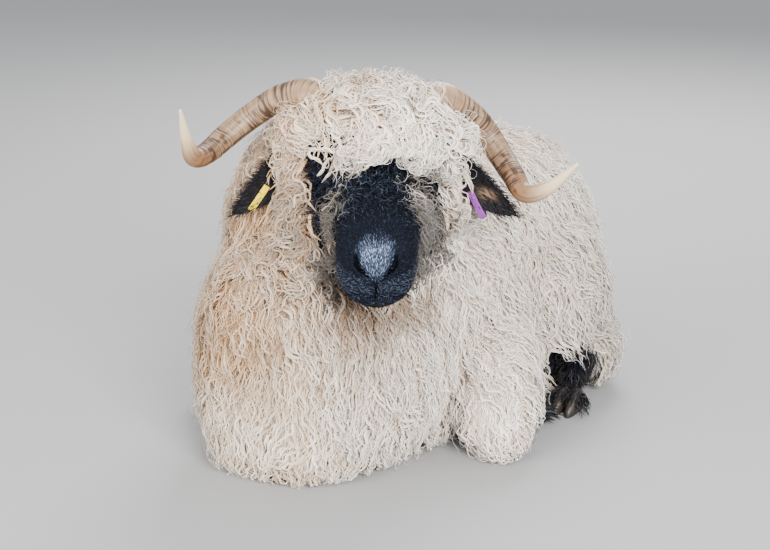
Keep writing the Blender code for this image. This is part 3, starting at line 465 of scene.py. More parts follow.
def noise(places, size, seed):
    """Smooth values from -1 to 1: three sums of sines along seeded random directions."""
    rng = np.random.default_rng(seed)
    ways = unit(rng.normal(size=(7, 3))) * (2 * math.pi / size) * rng.uniform(0.6, 1.6, (7, 1))
    return np.sin(places @ ways.T + rng.uniform(0, 6.28, 7)).sum(-1) / 4.2


class Field:
    """Signed distance to a closed surface on a lattice, read back by interpolation."""

    def __init__(self, item, low, high, cell):
        tree = BVHTree.FromObject(item, bpy.context.evaluated_depsgraph_get())
        self.low, self.cell = np.array(low, float), cell
        axes = [np.arange(a, b + cell, cell) for a, b in zip(low, high)]
        lattice = np.stack(np.meshgrid(*axes, indexing="ij"), -1)
        found = [tree.find_nearest(spot)[:2] for spot in lattice.reshape(-1, 3).tolist()]
        near = np.array([spot for spot, normal in found]).reshape(lattice.shape)
        face = np.array([normal for spot, normal in found]).reshape(lattice.shape)
        reach = lattice - near
        distance = np.linalg.norm(reach, axis=-1) * np.where(np.sum(reach * face, -1) < 0, -1, 1)
        slope = np.stack(np.gradient(distance, cell), -1)
        self.table = np.concatenate((distance[..., None], slope), -1)

    def read(self, places):
        """Distance and outward direction at places, by trilinear interpolation."""
        place = (places - self.low) / self.cell
        top = np.array(self.table.shape[:3]) - 1.001
        place = np.clip(place, 0, top)
        cell = place.astype(int)
        share = place - cell
        value = np.zeros(places.shape[:-1] + (4,))
        for i in (0, 1):
            for j in (0, 1):
                for k in (0, 1):
                    weight = (np.abs(1 - i - share[..., 0]) * np.abs(1 - j - share[..., 1])
                              * np.abs(1 - k - share[..., 2]))
                    value += weight[..., None] * self.table[cell[..., 0] + i,
                                                            cell[..., 1] + j,
                                                            cell[..., 2] + k]
        return value[..., 0], unit(value[..., 1:])


def read_fields(places):
    """Distance and direction from the body, or from the face where that is nearer."""
    field, face = grown["fields"]
    distance, normal = field.read(places)
    low, high = face.low, face.low + face.cell * (np.array(face.table.shape[:3]) - 1)
    inside = np.all((places > low) & (places < high), -1)
    other, way = face.read(places)
    closer = inside & (other < distance)
    return np.where(closer, other, distance), np.where(closer[..., None], way, normal)


def near_line(places, line, snap=False):
    """Distance of places to a curve through a table of points, and the share along it.

    With snap the curve is first laid on the nearest of the places.
    """
    path = blend(line, 40)
    if snap:
        path = places[nearest_of(path, places)]
    gaps = np.linalg.norm(places[:, None] - path[None], axis=-1)
    return gaps.min(1), gaps.argmin(1) / (len(path) - 1)


def face_rings():
    """Superellipse rings from the muzzle to the poll, sheared back at the front.

    side = w c^0.86, up = h s^0.92, back = b + lean * up; the first rings shrink to the tip.
    """
    table = blend(HEAD_STATIONS, 400)
    along = np.concatenate(([0], np.cumsum(np.linalg.norm(np.diff(table, axis=0), axis=1))))
    rows = np.stack([np.interp(np.linspace(0, along[-1], FACE_RINGS), along, table[:, k])
                     for k in range(4)], 1)
    share = np.linspace(0.06, 0.97, 16)[:, None]
    cap = rows[0] * (0, 1, 1, 1) * share
    cap[:, 0] = rows[0, 0] - 0.0045 * (1 - share[:, 0] ** 2.2)
    cap[:, 2:] += (1 - share) * (-0.016, 0.016)
    rows = np.vstack((cap, rows))
    angle = turns(FACE_SIDES)
    c, s = np.cos(angle), np.sin(angle)
    across, rise = power(c, 0.86), power(s, 0.92)
    local = np.empty((len(rows), FACE_SIDES, 3))
    local[..., 0] = rows[:, 1:2] * across
    local[..., 1] = np.where(s > 0, rows[:, 2:3], rows[:, 3:4]) * rise
    lean = MUZZLE_LEAN * np.clip(1 - rows[:, :1] / LEAN_LENGTH, 0, 1)
    local[..., 2] = rows[:, :1] + lean * np.maximum(local[..., 1], LEAN_CHIN)
    return local


def gaze(mirror):
    """The way an eye looks in the head frame: mostly sideways, a little forward and up."""
    way = np.array((mirror * 0.86, 0.16, -0.48))
    return way / np.linalg.norm(way)


def eye_share(local, mirror):
    """How far places are from the middle of the eye's opening: 1 is the lids' rim."""
    way = gaze(mirror)
    reach = local - (np.array(EYE_CENTRE) * (mirror, 1, 1) + way * 0.010)
    ahead = np.array((0.0, 0.0, -1.0))
    long = ahead - way * (ahead @ way)
    long /= np.linalg.norm(long)
    high = np.cross(way, long) * mirror
    x, y = reach @ long, reach @ high
    depth = reach @ way
    lens = np.abs(x / 0.0145) ** 1.7 + np.abs((y + 0.0008) / 0.0066) ** 1.5
    return np.where(np.abs(depth) < 0.03, np.maximum(lens, 1e-6) ** 0.6, 9.0)


def carve_face(local, normals):
    """Move the rings along their normals at the nostrils, philtrum and lips, and round the eyes
    into lids.
    """
    flat = local.reshape(-1, 3)
    half = one_side(flat)
    push = np.zeros(len(flat))
    gap, share = near_line(half, NOSTRIL, snap=True)
    size = 0.0021 * (0.75 + 0.5 * np.sin(math.pi * np.clip(share * 1.1, 0, 1)))
    push += 0.0022 * hump(gap, 0.0052, 0.0030) * smooth(half[:, 1], -0.012, 0.0)
    push -= 0.0062 * hump(gap, 0, size)
    gap, _ = near_line(half, PHILTRUM, snap=True)
    push -= 0.0028 * hump(gap, 0, 0.0016)
    push += 0.0016 * hump(gap, 0.0055, 0.0035)
    gap, share = near_line(half, MOUTH, snap=True)
    push -= 0.0042 * hump(gap, 0, 0.0015)
    line = np.interp(half[:, 0], (0, 0.030, 0.049), (-0.031, -0.034, -0.030))
    above = np.where(half[:, 1] > line, 0.8, 1.0)
    push += 0.0026 * above * hump(gap, 0.0062, 0.0040) * (0.5 + 0.5 * share)
    moved = flat + normals * push[:, None]
    for mirror in (1, -1):
        centre = np.array(EYE_CENTRE) * (mirror, 1, 1)
        rim = eye_share(flat, mirror)
        ball = unit(moved - centre)
        inner = centre + ball * (EYE_RADIUS * 0.80)
        lid = centre + ball * (EYE_RADIUS + 0.0028)
        hollow = fall(rim, 0.92, 1.04)
        wrap = hump(rim, 1.22, 0.26)
        moved = moved + (lid - moved) * wrap[:, None] * 0.9
        moved = moved + (inner - moved) * hollow[:, None]
    return moved.reshape(local.shape)


def grid_normals(rings):
    """Unit normals of closed rings from the cross product of the two grid directions."""
    around = np.roll(rings, -1, 1) - np.roll(rings, 1, 1)
    along = np.gradient(rings, axis=0)
    normals = unit(np.cross(around, along))
    outward = np.sum(normals * (rings - rings.mean(1, keepdims=True)), -1, keepdims=True)
    return np.where(np.mean(outward) < 0, -normals, normals)


def face_body():
    """The carved face as a closed body in the world."""
    local = face_rings()
    local = carve_face(local, grid_normals(local).reshape(-1, 3))
    ends = head_points(np.array((local[0].mean(0), (0, 0.004, HEAD_STATIONS[-1][0] + 0.006))))
    return shell(head_points(local), ends[0], ends[1])


def nose_share(local):
    """1 on the grey-blue patch of the nose between and above the nostrils."""
    side, up, back = one_side(local).T
    width = np.interp(up, (-0.006, 0.004, 0.014, 0.026, 0.034),
                      (0.004, 0.013, 0.019, 0.020, 0.013))
    slit = np.interp(side, (0.0, 0.015, 0.024, 0.027), (-0.0095, -0.003, 0.006, 0.016))
    return (fall(side, width * 0.65, width * 1.45) * smooth(up - slit, 0.0005, 0.0045)
            * fall(up, 0.020, 0.038) * fall(back, 0.034, 0.056))


def deep_wool(places):
    """1 where dense wool raises the surface: the body, neck and back of the head."""
    local = head_place(places)
    head = within(local, (0.20, 0.25), (-0.14, -0.09), (0.15, 0.19))
    poll = within(local, (0.30, 0.36), (-0.10, -0.05), (0.16, 0.20))
    return ((1 - head) * (1 - 0.55 * poll) * (1 - foot_share(places))
            * smooth(places[:, 2], 0.0, 0.03))


def eye_patch(local):
    """1 in the dark hollow beside each eye, fading out as e^-(sum of fourth powers)."""
    side, up, back = one_side(local).T
    middle = np.interp(up, (-0.03, 0.0, 0.03), (0.066, 0.074, 0.078))
    return np.exp(-((side - middle) / 0.017) ** 4 - ((up - 0.034) / 0.064) ** 4
                  - ((back - 0.152) / 0.038) ** 4)


def skin_tone(places):
    """Colour of the skin: dark short hair on face and feet, dense wool elsewhere."""
    local = head_place(places)
    tan = wool_tone(places, 0.08)[0] * (1 + 0.06 * noise(places, 0.012, 3))[:, None]
    dark = FACE_SKIN * (1 + 0.4 * noise(places, 0.012, 4))[:, None]
    nose = nose_share(local)[:, None]
    crown = 0.35 + 0.65 * smooth(local[:, 1], -0.006, 0.020)[:, None]
    half = one_side(local)
    # Painted shade in the grooves of the nostrils and the philtrum: the skin there down to a
    # tenth
    groove = np.minimum(near_line(half, NOSTRIL, snap=True)[0], near_line(half, PHILTRUM)[0])
    dark = dark * (0.10 + 0.90 * smooth(groove, 0.0015, 0.0040))[:, None]
    dark = dark * (1 - nose) + NOSE_SKIN * nose * crown
    black = np.maximum(face_share(places), foot_share(places))
    black = np.maximum(black, smooth(eye_patch(local), 0.25, 0.5))[:, None]
    return tan * (1 - black) + dark * black


def face_share(places):
    """1 on the bare face in front of the forelock and cheeks, 0 under the wool."""
    local = head_place(places)
    return (fall(local[:, 2], 0.190, 0.215) * (np.abs(local[:, 0]) < 0.085)
            * (np.abs(local[:, 1]) < 0.085))


def foot_share(places):
    """1 on the black lower legs, hocks and knees."""
    found = np.zeros(len(places))
    for mirror in (1, -1):
        for line, first, reach in ((FORE_CANNON, 0.15, 0.036), (HIND_CANNON, 0.40, 0.044)):
            gap, share = near_line(places, leg_place(np.array(line)[:, :3], mirror))
            found = np.maximum(found, fall(gap, reach, reach + 0.012)
                               * smooth(share, first, first + 0.12))
    return found


def strand_lines(roots, normals, length, loft, shares, turn, curl, rise=0.30):
    """Centre lines of strands over the skin, with a row at each share of the length.

    A strand leaves along the normal, bends into the lie of the coat and rises from its
    root to the loft by min(1, t / rise)^0.8. It runs aside from the lie by
    turn + curl * (t - 0.4), which makes an arc of it.
    """
    place = roots - normals * 0.004
    line = [place]
    start = read_fields(place)[0]
    loft = np.maximum(loft, start + 0.007)
    way = normals + 0.5 * lie(roots, normals, turn - 0.4 * curl)
    for t, step in zip(shares[1:], np.diff(shares)):
        place = place + unit(way) * (length * step)[:, None]
        distance, normal = read_fields(place)
        wanted = start + (loft - start) * min(1.0, t / rise) ** 0.8
        place = place + normal * ((wanted - distance) * 0.5)[:, None]
        place[:, 2] = np.maximum(place[:, 2], FLOOR_GAP + 0.002)
        way = 0.25 * unit(way) + 0.9 * lie(place, normal, turn + curl * (t - 0.4))
        line.append(place)
    return np.stack(line, 1)


def lie(places, normals, turn):
    """The way the coat lies: down the sides, back along the spine, out from the whorl."""
    table = np.array(TORSO_STATIONS)
    centre = np.interp(places[:, 1], table[:, 0], table[:, 3])
    aside = np.clip((places[:, 0] - centre) / 0.10, -1, 1)
    way = np.stack((aside * 0.8, 0.75 - 0.60 * np.abs(aside), -1.0 * np.abs(aside) - 0.15), 1)
    chest = fall(places[:, 1], -0.34, -0.24)[:, None]
    hang = np.stack((0.15 * aside, -0.2 + 0 * aside, -1.0 + 0 * aside), 1)
    way = way * (1 - chest) + hang * chest
    over = within(head_place(places), (0.30, 0.36), (-0.12, -0.07), (0.16, 0.20))[:, None]
    whorl = unit(places - head_points(WHORL)) + np.array((0, 0, -0.55))
    way = way * (1 - over) + whorl * over
    way = way + np.array((0, 0, -0.25))
    way = along_skin(way, normals)
    aside = np.cross(normals, way)
    return way * np.cos(turn)[:, None] + aside * np.sin(turn)[:, None]


def line_frames(line, normals):
    """Unit vectors across and above each point of many lines."""
    tangent = unit(np.gradient(line, axis=1))
    across = unit(np.cross(tangent, normals[:, None]))
    return across, np.cross(across, tangent)


def wave(line, normals, shares, radius, length, period, phase, squash=0.6):
    """Wind a line into a helix: offset = r (cos a * across + squash * sin a * high)."""
    across, high = line_frames(line, normals)
    angle = 2 * math.pi * shares[None] * (length / period)[:, None] + phase[:, None]
    size = radius[:, None] * smooth(shares, 0.0, 0.35)[None]
    return (line + (size * np.cos(angle))[..., None] * across
            + (squash * size * np.sin(angle))[..., None] * high)


def short_hair(roots, normals, way, length, t, reach, bend, droop=0.6, depth=0.0):
    """Hairs that rise and bend over: L (reach t way + bend (t - droop t^2) normal)."""
    return (roots[:, None] - normals[:, None] * depth + length
            * (way[:, None] * t * reach + normals[:, None] * bend * (t - droop * t * t)))


def along_skin(way, normals):
    """Directions laid flat on the skin, of length one."""
    return unit(way - normals * np.sum(way * normals, -1, keepdims=True))


def foot_tones(rng, count, rows):
    """Near-black hair with a few lighter ones: dark + light r^4."""
    tone = FOOT_HAIR + FOOT_LIGHT * rng.random((count, 1)) ** 4
    return np.repeat(tone[:, None], rows, 1)


def part_round(line, path, radius):
    """Push the points of strands that enter a tube along a path out to its surface."""
    places = line.reshape(-1, 3)
    middle = path.mean(0)
    near = np.flatnonzero(np.linalg.norm(places - middle, axis=1)
                          < np.linalg.norm(path - middle, axis=1).max() + 0.05)
    reach = places[near, None] - path[None]
    gap = np.linalg.norm(reach, axis=-1)
    rank = gap.argmin(1)
    row = np.arange(len(near))
    gap, reach = gap[row, rank], reach[row, rank]
    push = np.maximum(radius[rank] - gap, 0) / np.maximum(gap, 1e-6)
    places[near] += reach * push[:, None]
    return places.reshape(line.shape)


def touches(line, path, reach):
    """True for strands that come within a reach of a path."""
    found = np.zeros(len(line), bool)
    for first in range(0, len(line), 2000):
        part = line[first:first + 2000]
        gap = np.linalg.norm(part[:, :, None] - path[None, None], axis=-1)
        found[first:first + 2000] = gap.min((1, 2)) < reach
    return found


def strand_mesh(name, line, normals, shares, radius, colours, patches, flat, soft):
    """Three-sided closed tubes along all lines: thickest at a third, pointed at the tip.

    With soft above 0 the shading leans from each side's own normal towards the coat's.
    """
    count, rows = line.shape[:2]
    across, high = line_frames(line, normals)
    taper = (0.55 + 0.45 * np.minimum(1, shares / 0.25)) * (1 - smooth(shares, 0.5, 1.0) * 0.86)
    size = radius[:, None, None, None] * taper[None, :, None, None]
    angle = turns(3) + 0.5
    verts = (line[:, :, None] + size * (np.cos(angle)[None, None, :, None] * across[:, :, None]
             + flat * np.sin(angle)[None, None, :, None] * high[:, :, None]))
    verts[..., 2] = np.maximum(verts[..., 2], FLOOR_GAP)
    base = (np.arange(count) * rows * 3)[:, None, None]
    row, k = np.arange(rows - 1)[None, :, None] * 3, np.arange(3)[None, None]
    after = (k + 1) % 3
    quads = np.stack((base + row + k, base + row + 3 + k, base + row + 3 + after,
                      base + row + after), -1).reshape(-1, 4)
    ends = np.concatenate((base[:, 0] + (0, 1, 2), base[:, 0] + (rows - 1) * 3 + (2, 1, 0)))
    made = add_mesh(name, verts.reshape(-1, 3), [quads, ends])
    if soft:
        own = unit(verts - line[:, :, None])
        shade = unit(own * (1 - soft) + normals[:, None, None] * soft).reshape(-1, 3)
        made.data.normals_split_custom_set_from_vertices(shade)
    paint(made, (colours.reshape(-1, 1, 3) * SIDE_TONES).reshape(-1, 3))
    fibre = np.empty((count, rows, 3, 3), np.float32)
    fibre[..., 0] = np.array((0, 1, 0.5)) * (radius / FIBRE_WIDTH)[:, None, None]
    step = np.linalg.norm(np.diff(line, axis=1), axis=2)
    way = np.concatenate((np.zeros((count, 1)), np.cumsum(step, 1)), 1)
    fibre[..., 1] = (way / FIBRE_LENGTH)[:, :, None]
    fibre[..., 2] = (np.arange(count) * 7.31 % 97)[:, None, None]
    layer = made.data.attributes.new("fibre", "FLOAT_VECTOR", "POINT")
    layer.data.foreach_set("vector", fibre.ravel())
    uv = made.data.uv_layers.new(name="OFBake")
    corner = np.concatenate((quads.ravel(), ends.ravel()))
    owner, spot = corner // (rows * 3), corner % (rows * 3)
    local = np.stack((spot % 3 / 2, spot // 3 / (rows - 1)), 1) * PATCH
    uv.data.foreach_set("uv", (patches[owner] + local).astype(np.float32).ravel())
    return made


def unwrap(places):
    """Where a root lies on the skin's own unwrap: the head round its own axis, all else round the
    body's.
    """
    local = head_place(places)
    head = on_head(local, 0.30, -0.12, 0.19)
    about = np.arctan2(places[:, 0] - 0.01, places[:, 2] - WIDEST_HEIGHT)
    body = np.stack((0.02 + 0.60 * (places[:, 1] + 0.50) / 1.02,
                     0.5 + 0.47 * about / math.pi), 1)
    cap = np.stack((0.66 + 0.32 * local[:, 2] / 0.32,
                    0.5 + 0.47 * np.arctan2(local[:, 0], local[:, 1]) / math.pi), 1)
    return np.clip(np.where(head[:, None], cap, body), 0.002, 0.994)


def scatter(item, count, rng, density=None):
    """Evenly spread roots on a mesh with their normals, drawn in proportion to area."""
    mesh = item.data
    mesh.calc_loop_triangles()
    corner = np.empty(3 * len(mesh.loop_triangles), np.int32)
    mesh.loop_triangles.foreach_get("vertices", corner)
    places = mesh_points(item)
    a, b, c = (places[corner.reshape(-1, 3)[:, k]] for k in range(3))
    cross = np.cross(b - a, c - a)
    area = np.linalg.norm(cross, axis=1)
    weight = area * (1 if density is None else density((a + b + c) / 3))
    weight *= np.where(cross[:, 2] < -0.6 * area, 0.3, 1.0)
    edge = np.cumsum(weight) / weight.sum()
    pick = np.searchsorted(edge, (np.arange(count) + rng.random(count)) / count)
    pick = np.minimum(pick, len(area) - 1)
    u, v = rng.random((2, count, 1))
    fold = u + v > 1
    u, v = np.where(fold, 1 - u, u), np.where(fold, 1 - v, v)
    return a[pick] + u * (b - a)[pick] + v * (c - a)[pick], unit(cross[pick])


def nearest_of(places, centres):
    """Index of the nearest centre of each place, worked in slices."""
    found = np.empty(len(places), int)
    square = (centres ** 2).sum(1)
    for first in range(0, len(places), 4000):
        part = places[first:first + 4000]
        found[first:first + 4000] = np.argmin(square - 2 * part @ centres.T, 1)
    return found


def gather(line, centre_line, shares, roots, centres, index, hold):
    """Draw each strand towards the middle line of its staple, more so near the tip."""
    t = shares[None, :, None]
    offset = (roots - centres[index])[:, None]
    goal = centre_line[index] + offset * (1 - 0.75 * t)
    share = hold * smooth(t, 0.1, 1.0)
    return line * (1 - share) + goal * share


class Recipe:
    """A material's node tree with one method that adds nodes."""

    def __init__(self, name):
        self.material = bpy.data.materials.new(name)
        self.material.use_nodes = True
        self.tree = self.material.node_tree
        self.shader = self.tree.nodes["Principled BSDF"]

    def add(self, kind, settings=None, **values):
        """A node of a kind: its settings first, then values or links of its sockets.

        A socket is given by its name, with _ for a space, or by i and its number.
        """
        node = self.tree.nodes.new(kind)
        for key, value in (settings or {}).items():
            setattr(node, key, value)
        for key, value in values.items():
            place = int(key[1:]) if key[1:].isdigit() else key.replace("_", " ")
            self.feed(node.inputs[place], value)
        return node

    def feed(self, target, value):
        """Link a wire to a socket, or set the socket's own value."""
        if isinstance(value, Wire):
            self.tree.links.new(value.socket, target)
        else:
            target.default_value = value

    def wire(self, node, output=0):
        """One output of a node for use in an expression."""
        return Wire(self, node.outputs[output])

    def finish(self, **values):
        """Set or link the shader's sockets; the words are joined by underscores."""
        for key, value in values.items():
            self.feed(self.shader.inputs[key.replace("_", " ")], value)
        return self.material


class Wire:
    """A value socket in an expression: each operator adds a Math node."""

    def __init__(self, recipe, socket):
        self.recipe, self.socket = recipe, socket

    def math(self, operation, *others):
        """The result of one Math node."""
        values = {f"i{k}": value for k, value in enumerate((self, *others))}
        node = self.recipe.add("ShaderNodeMath", {"operation": operation}, **values)
        return self.recipe.wire(node)

    def __add__(self, other):
        return self.math("ADD", other)

    __radd__ = __add__

    def __mul__(self, other):
        return self.math("MULTIPLY", other)

    __rmul__ = __mul__

    def __sub__(self, other):
        return self.math("SUBTRACT", other)

    def __rsub__(self, other):
        return (self * -1.0) + other


def mixed(recipe, factor, first, second):
    """Colours mixed by a factor."""
    node = recipe.add("ShaderNodeMix", {"data_type": "RGBA"}, Factor=factor, i6=first, i7=second)
    return recipe.wire(node, 2)


def painted(recipe):
    """The painted colour."""
    return recipe.wire(recipe.add("ShaderNodeAttribute", {"attribute_name": "tint"}))


def darker(recipe, colour, shares):
    """A colour with each channel brought down to a share."""
    return recipe.wire(recipe.add("ShaderNodeVectorMath", {"operation": "MULTIPLY"},
                                  i0=colour, i1=shares))


def bumped(recipe, scale, strength, distance):
    """A Bump node over fine noise in object coordinates."""
    where = recipe.wire(recipe.add("ShaderNodeTexCoord"), 3)
    grain = recipe.add("ShaderNodeTexNoise", Vector=where, Scale=scale, Detail=3.0)
    bump = recipe.add("ShaderNodeBump", Strength=strength, Distance=distance,
                      Height=recipe.wire(grain, 0))
    return recipe.wire(bump)


def strand_material(name, roughness, sheen, gloss):
    """Hair or wool: the painted tint, with painted shade between the fibres that run along a
    lock.
    """
    recipe = Recipe(name)
    tint = painted(recipe)
    where = recipe.wire(recipe.add("ShaderNodeAttribute", {"attribute_name": "fibre"}), 1)
    grain = recipe.wire(recipe.add("ShaderNodeTexNoise", Vector=where, Scale=1.0, Detail=1.0))
    fibres = recipe.wire(recipe.add("ShaderNodeMapRange", i0=grain, i1=0.34, i2=0.60))
    # Painted shade between the fibres
    deep = darker(recipe, tint, (0.66, 0.56, 0.45))
    bump = recipe.wire(recipe.add("ShaderNodeBump", Strength=0.6, Distance=0.0008,
                                  Height=fibres))
    return recipe.finish(Base_Color=mixed(recipe, fibres, deep, tint), Roughness=roughness,
                         Normal=bump, Sheen_Weight=sheen, Sheen_Roughness=0.45,
                         Specular_IOR_Level=gloss)


def skin_material():
    """Short hair and small curls as a bump; dense wool has painted shade between its waves."""
    recipe = Recipe("skin")
    where = recipe.wire(recipe.add("ShaderNodeTexCoord"), 3)
    hair = recipe.wire(recipe.add("ShaderNodeTexNoise", Vector=where, Scale=900.0, Detail=2.0))
    curl = recipe.wire(recipe.add("ShaderNodeTexVoronoi", Vector=where, Scale=260.0))
    waves = recipe.wire(recipe.add("ShaderNodeTexWave", Vector=where, Scale=95.0,
                                   Distortion=11.0, Detail=2.0, Detail_Scale=1.2), 1)
    woolly = recipe.wire(recipe.add("ShaderNodeAttribute", {"attribute_name": "woolly"}), 2)
    bump = recipe.wire(recipe.add("ShaderNodeBump", Strength=0.8, Distance=0.0016,
                                  Height=hair * 0.5 + curl * 0.5 + waves * woolly))
    tint = painted(recipe)
    # Painted shade between the waves of the dense wool
    deep = darker(recipe, tint, (0.50, 0.38, 0.27))
    return recipe.finish(Base_Color=mixed(recipe, (1 - waves) * woolly, tint, deep),
                         Roughness=0.7, Normal=bump, Specular_IOR_Level=0.06)


def seat(made, material, nodes=()):
    """Give a piece its material and body, and hide the solids that it stands for."""
    made.data.materials.clear()
    made.data.materials.append(material)
    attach(made, "root")
    if nodes:
        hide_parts(*nodes)


def wool_tone(places, extra=0.0):
    """Colour of the wool by its place, with the shares of stained wool with painted shadow and of
    full light.

    The share of tan is 0.26 + 0.30 noise, with 0.85 more on the right of the chest and
    70% less on the ewe's left, where cream turns to white; extra adds to it. Bells mix in
    the stained wool under the chin, its dark brown partly painted shadow of the head, and
    darken the knee. Painted shade makes the right of the chest a tenth darker and the far
    flank up to 30% darker; the share of full light carries this shade and the dark knee.
    """
    wool = bpy.context.scene.ewe_wool
    cream, tan, white = np.array(wool.cream), np.array(wool.tan), np.array(wool.white)
    patch = noise(places, 0.16, 21) * 0.5 + noise(places, 0.05, 22) * 0.3
    chest = fall(places[:, 1], -0.34, -0.16) * fall(places[:, 0], -0.04, 0.12)
    high = smooth(places[:, 2], 0.08, 0.22)
    left = smooth(places[:, 0], 0.06, 0.16)
    warm = np.clip(0.26 + 0.30 * patch, 0, 1)
    warm = np.clip(warm + 0.85 * chest * high - 0.12 * (1 - high), 0, 1) * (1 - 0.7 * left)
    # Stained wool under the chin, its dark brown partly a painted shadow of the head
    near, wide = (np.sum(((places - middle) / radii) ** 2, 1)
                  for middle, radii in (STAIN_AND_SHADOW_NEAR, STAIN_AND_SHADOW_WIDE))
    chin = np.maximum(0.95 * np.exp(-near ** 1.4), 0.50 * np.exp(-wide))
    knee = np.exp(-np.sum(((places - KNEE_SPOT[0]) / KNEE_SPOT[1]) ** 4, 1))
    # Painted shade: a tenth darker on the right of the chest, up to 30% darker on the far flank
    light = 1 - 0.10 * chest * high
    light = light - 0.30 * smooth(places[:, 0], 0.14, 0.28) * smooth(places[:, 1], -0.08, 0.10)
    cream = cream + (white - cream) * 0.75 * left[:, None]
    tone = cream + (tan - cream) * np.clip(warm + extra, 0, 1)[:, None]
    tone = tone + (np.array(wool.stain_and_shadow) - tone) * chin[:, None]
    light = light * (1 - 0.96 * knee)
    return tone * light[:, None], chin, light


def fleece_tint(roots, shares, rng, index=None, extra=0.0):
    """Colour along each strand of the fleece: warm at the root, whiter at the tip as a painted
    highlight.

    Strands of one staple, given by their index, share part of their warmth and gleam; the gleam
    is a painted highlight, weaker under the chin and in painted shade.
    """
    count = len(roots)
    index = np.arange(count) if index is None else index
    spread = 0.13 * rng.normal(size=index.max() + 1)[index] + rng.normal(0, 0.08, count)
    tone, chin, light = wool_tone(roots, extra + spread)
    tone = (tone * (1 + rng.normal(0, 0.06, count))[:, None])[:, None]
    t = shares[None, :, None]
    root = tone * (0.88, 0.78, 0.67)
    tone = root + (tone - root) * smooth(t, 0.0, 0.55)
    # Painted highlight: whiter tips on gleaming strands, less under the chin and in painted shade
    gleam = rng.random(index.max() + 1)[index] * 0.5 + rng.random(count) * 0.5
    gleam = (gleam ** 2 * (1 - 0.8 * chin) * light ** 3 * (extra == 0))[:, None, None]
    tip = (0.10 + 0.95 * gleam) * smooth(t, 0.30, 0.85) * light[:, None, None] ** 3
    white = np.array(bpy.context.scene.ewe_wool.white)
    return np.clip(tone + (white - tone) * tip, 0.0, 0.97)


def head_tint(roots, shares, rng, index):
    """Colour along the forelock and cheek strands.

    It is the fleece's colour, darker in a bell on the right cheek as a painted shadow of
    the ear and forelock, and mixed with a dull grey near the face, partly the wool's own
    grey and partly painted shade, by a share that each lock and each strand draws anew.
    """
    tone = fleece_tint(roots, shares, rng, index)
    local = head_place(roots)
    # Painted shadow of the ear and forelock: a bell of darker wool on the right cheek
    shade = np.exp(-((local[:, 0] + 0.106) / 0.026) ** 2 - ((local[:, 1] + 0.010) / 0.046) ** 2)
    tone = tone * (1 - shade[:, None, None] * rng.uniform(0.35, 0.80, (len(roots), 1, 1)))
    # Dull grey near the face: partly the wool's own grey, partly painted shade, darker towards
    # the root
    grey = (fall(local[:, 2], 0.165, 0.235) * fall(local[:, 1], 0.03, 0.080)
            * (1 - 0.88 * smooth(np.abs(local[:, 0]), 0.074, 0.100)))
    of_lock = 0.35 + 0.65 * rng.random(index.max() + 1)[index]
    grey = grey * of_lock * rng.uniform(0.4, 1.3, len(roots))
    grey = np.clip(2.4 * grey, 0, 0.97)[:, None, None]
    beside = (side_lock(local) * fall(local[:, 1], 0.03, 0.06))[:, None, None]
    grey = np.maximum(grey, (0.35 + 0.6 * rng.random((len(roots), 1, 1))) * beside)
    dull = CHEEK_GREY_AND_SHADE * (0.35 + shares[None, :, None])
    return np.clip(tone * (1 - grey) + dull * grey, 0, 0.97)


def head_zone(places):
    """1 where the forelock and cheek wool roots, 0 on the face, under horns and elsewhere."""
    local = head_place(places)
    up, back = local[:, 1], local[:, 2]
    zone = on_head(local, 0.31, -0.11, 0.18)
    edge = np.interp(up, (-0.06, -0.035, -0.012, 0.012, 0.040, 0.055),
                     (0.075, 0.085, 0.110, 0.175, 0.172, 0.140))
    share = zone * smooth(back, edge, edge + 0.012) * (eye_patch(local) < 0.35)
    share = np.maximum(share, (3.2 - 1.9 * (local[:, 0] < 0)) * side_lock(local))
    share *= read_fields(places)[0] > -0.004
    for _, mirror, horn in HORNS:
        gap, _ = near_line(local, np.array(horn)[:, :3] * (mirror, 1, 1))
        share *= gap > 0.021
    return share.astype(float)


def side_lock(local):
    """1 where thin locks root beside the face, in front of the eyes' hollows."""
    side, up, back = one_side(local).T
    middle = 0.119 + 0.45 * np.maximum(up - 0.035, 0)
    patch = np.exp(-((up - 0.026) / 0.066) ** 4 - ((back - middle) / 0.016) ** 4)
    return (patch * (side > 0.043) * (side < 0.068) > 0.4).astype(float)


def clear_horns(line):
    """Part the wool round both horns."""
    for _, mirror, horn in HORNS:
        table = blend(horn, 60)[8:]
        line = part_round(line, on_side(table[:, :3], mirror), table[:, 3] * 0.95 + 0.002)
    return line


def hides_ear(line):
    """True for strands that would hide the outer part of an ear or its tag."""
    hidden = np.zeros(len(line), bool)
    ahead = head_axes()[2] * 0.012
    for _, mirror, ear, tag, _ in EARS:
        hidden |= touches(line, on_side(blend(ear, 24)[9:], mirror) + ahead, 0.022)
        hidden |= touches(line, on_side(blend(tag, 12), mirror) + ahead, 0.023)
    return hidden


def hides_eye(line, rng):
    """True for most strands that would hide the dark hollow beside an eye."""
    hidden = np.zeros(len(line), bool)
    for mirror, share, reach in ((-1, 0.95, 0.019), (1, 0.62, 0.011)):
        near = touches(line, on_side(blend(EYE_HOLLOW, 10), mirror), reach)
        hidden |= near & (rng.random(len(line)) < share)
    return hidden


def put_strands(word, line, normals, shares, radius, colours, roots, material,
                order, flat=0.8, soft=0.0):
    """Split strands into pieces of at most PIECE_TRIANGLES triangles, each seated on the body."""
    most = PIECE_TRIANGLES // ((len(shares) - 1) * 6 + 2)
    rank = np.argsort(order)
    patches = unwrap(roots) - PATCH / 2
    for number, first in enumerate(range(0, len(rank), most), 1):
        part = rank[first:first + most]
        made = strand_mesh(f"{word}_{number}", line[part], normals[part], shares, radius[part],
                           colours[part], patches[part], flat, soft)
        seat(made, material)


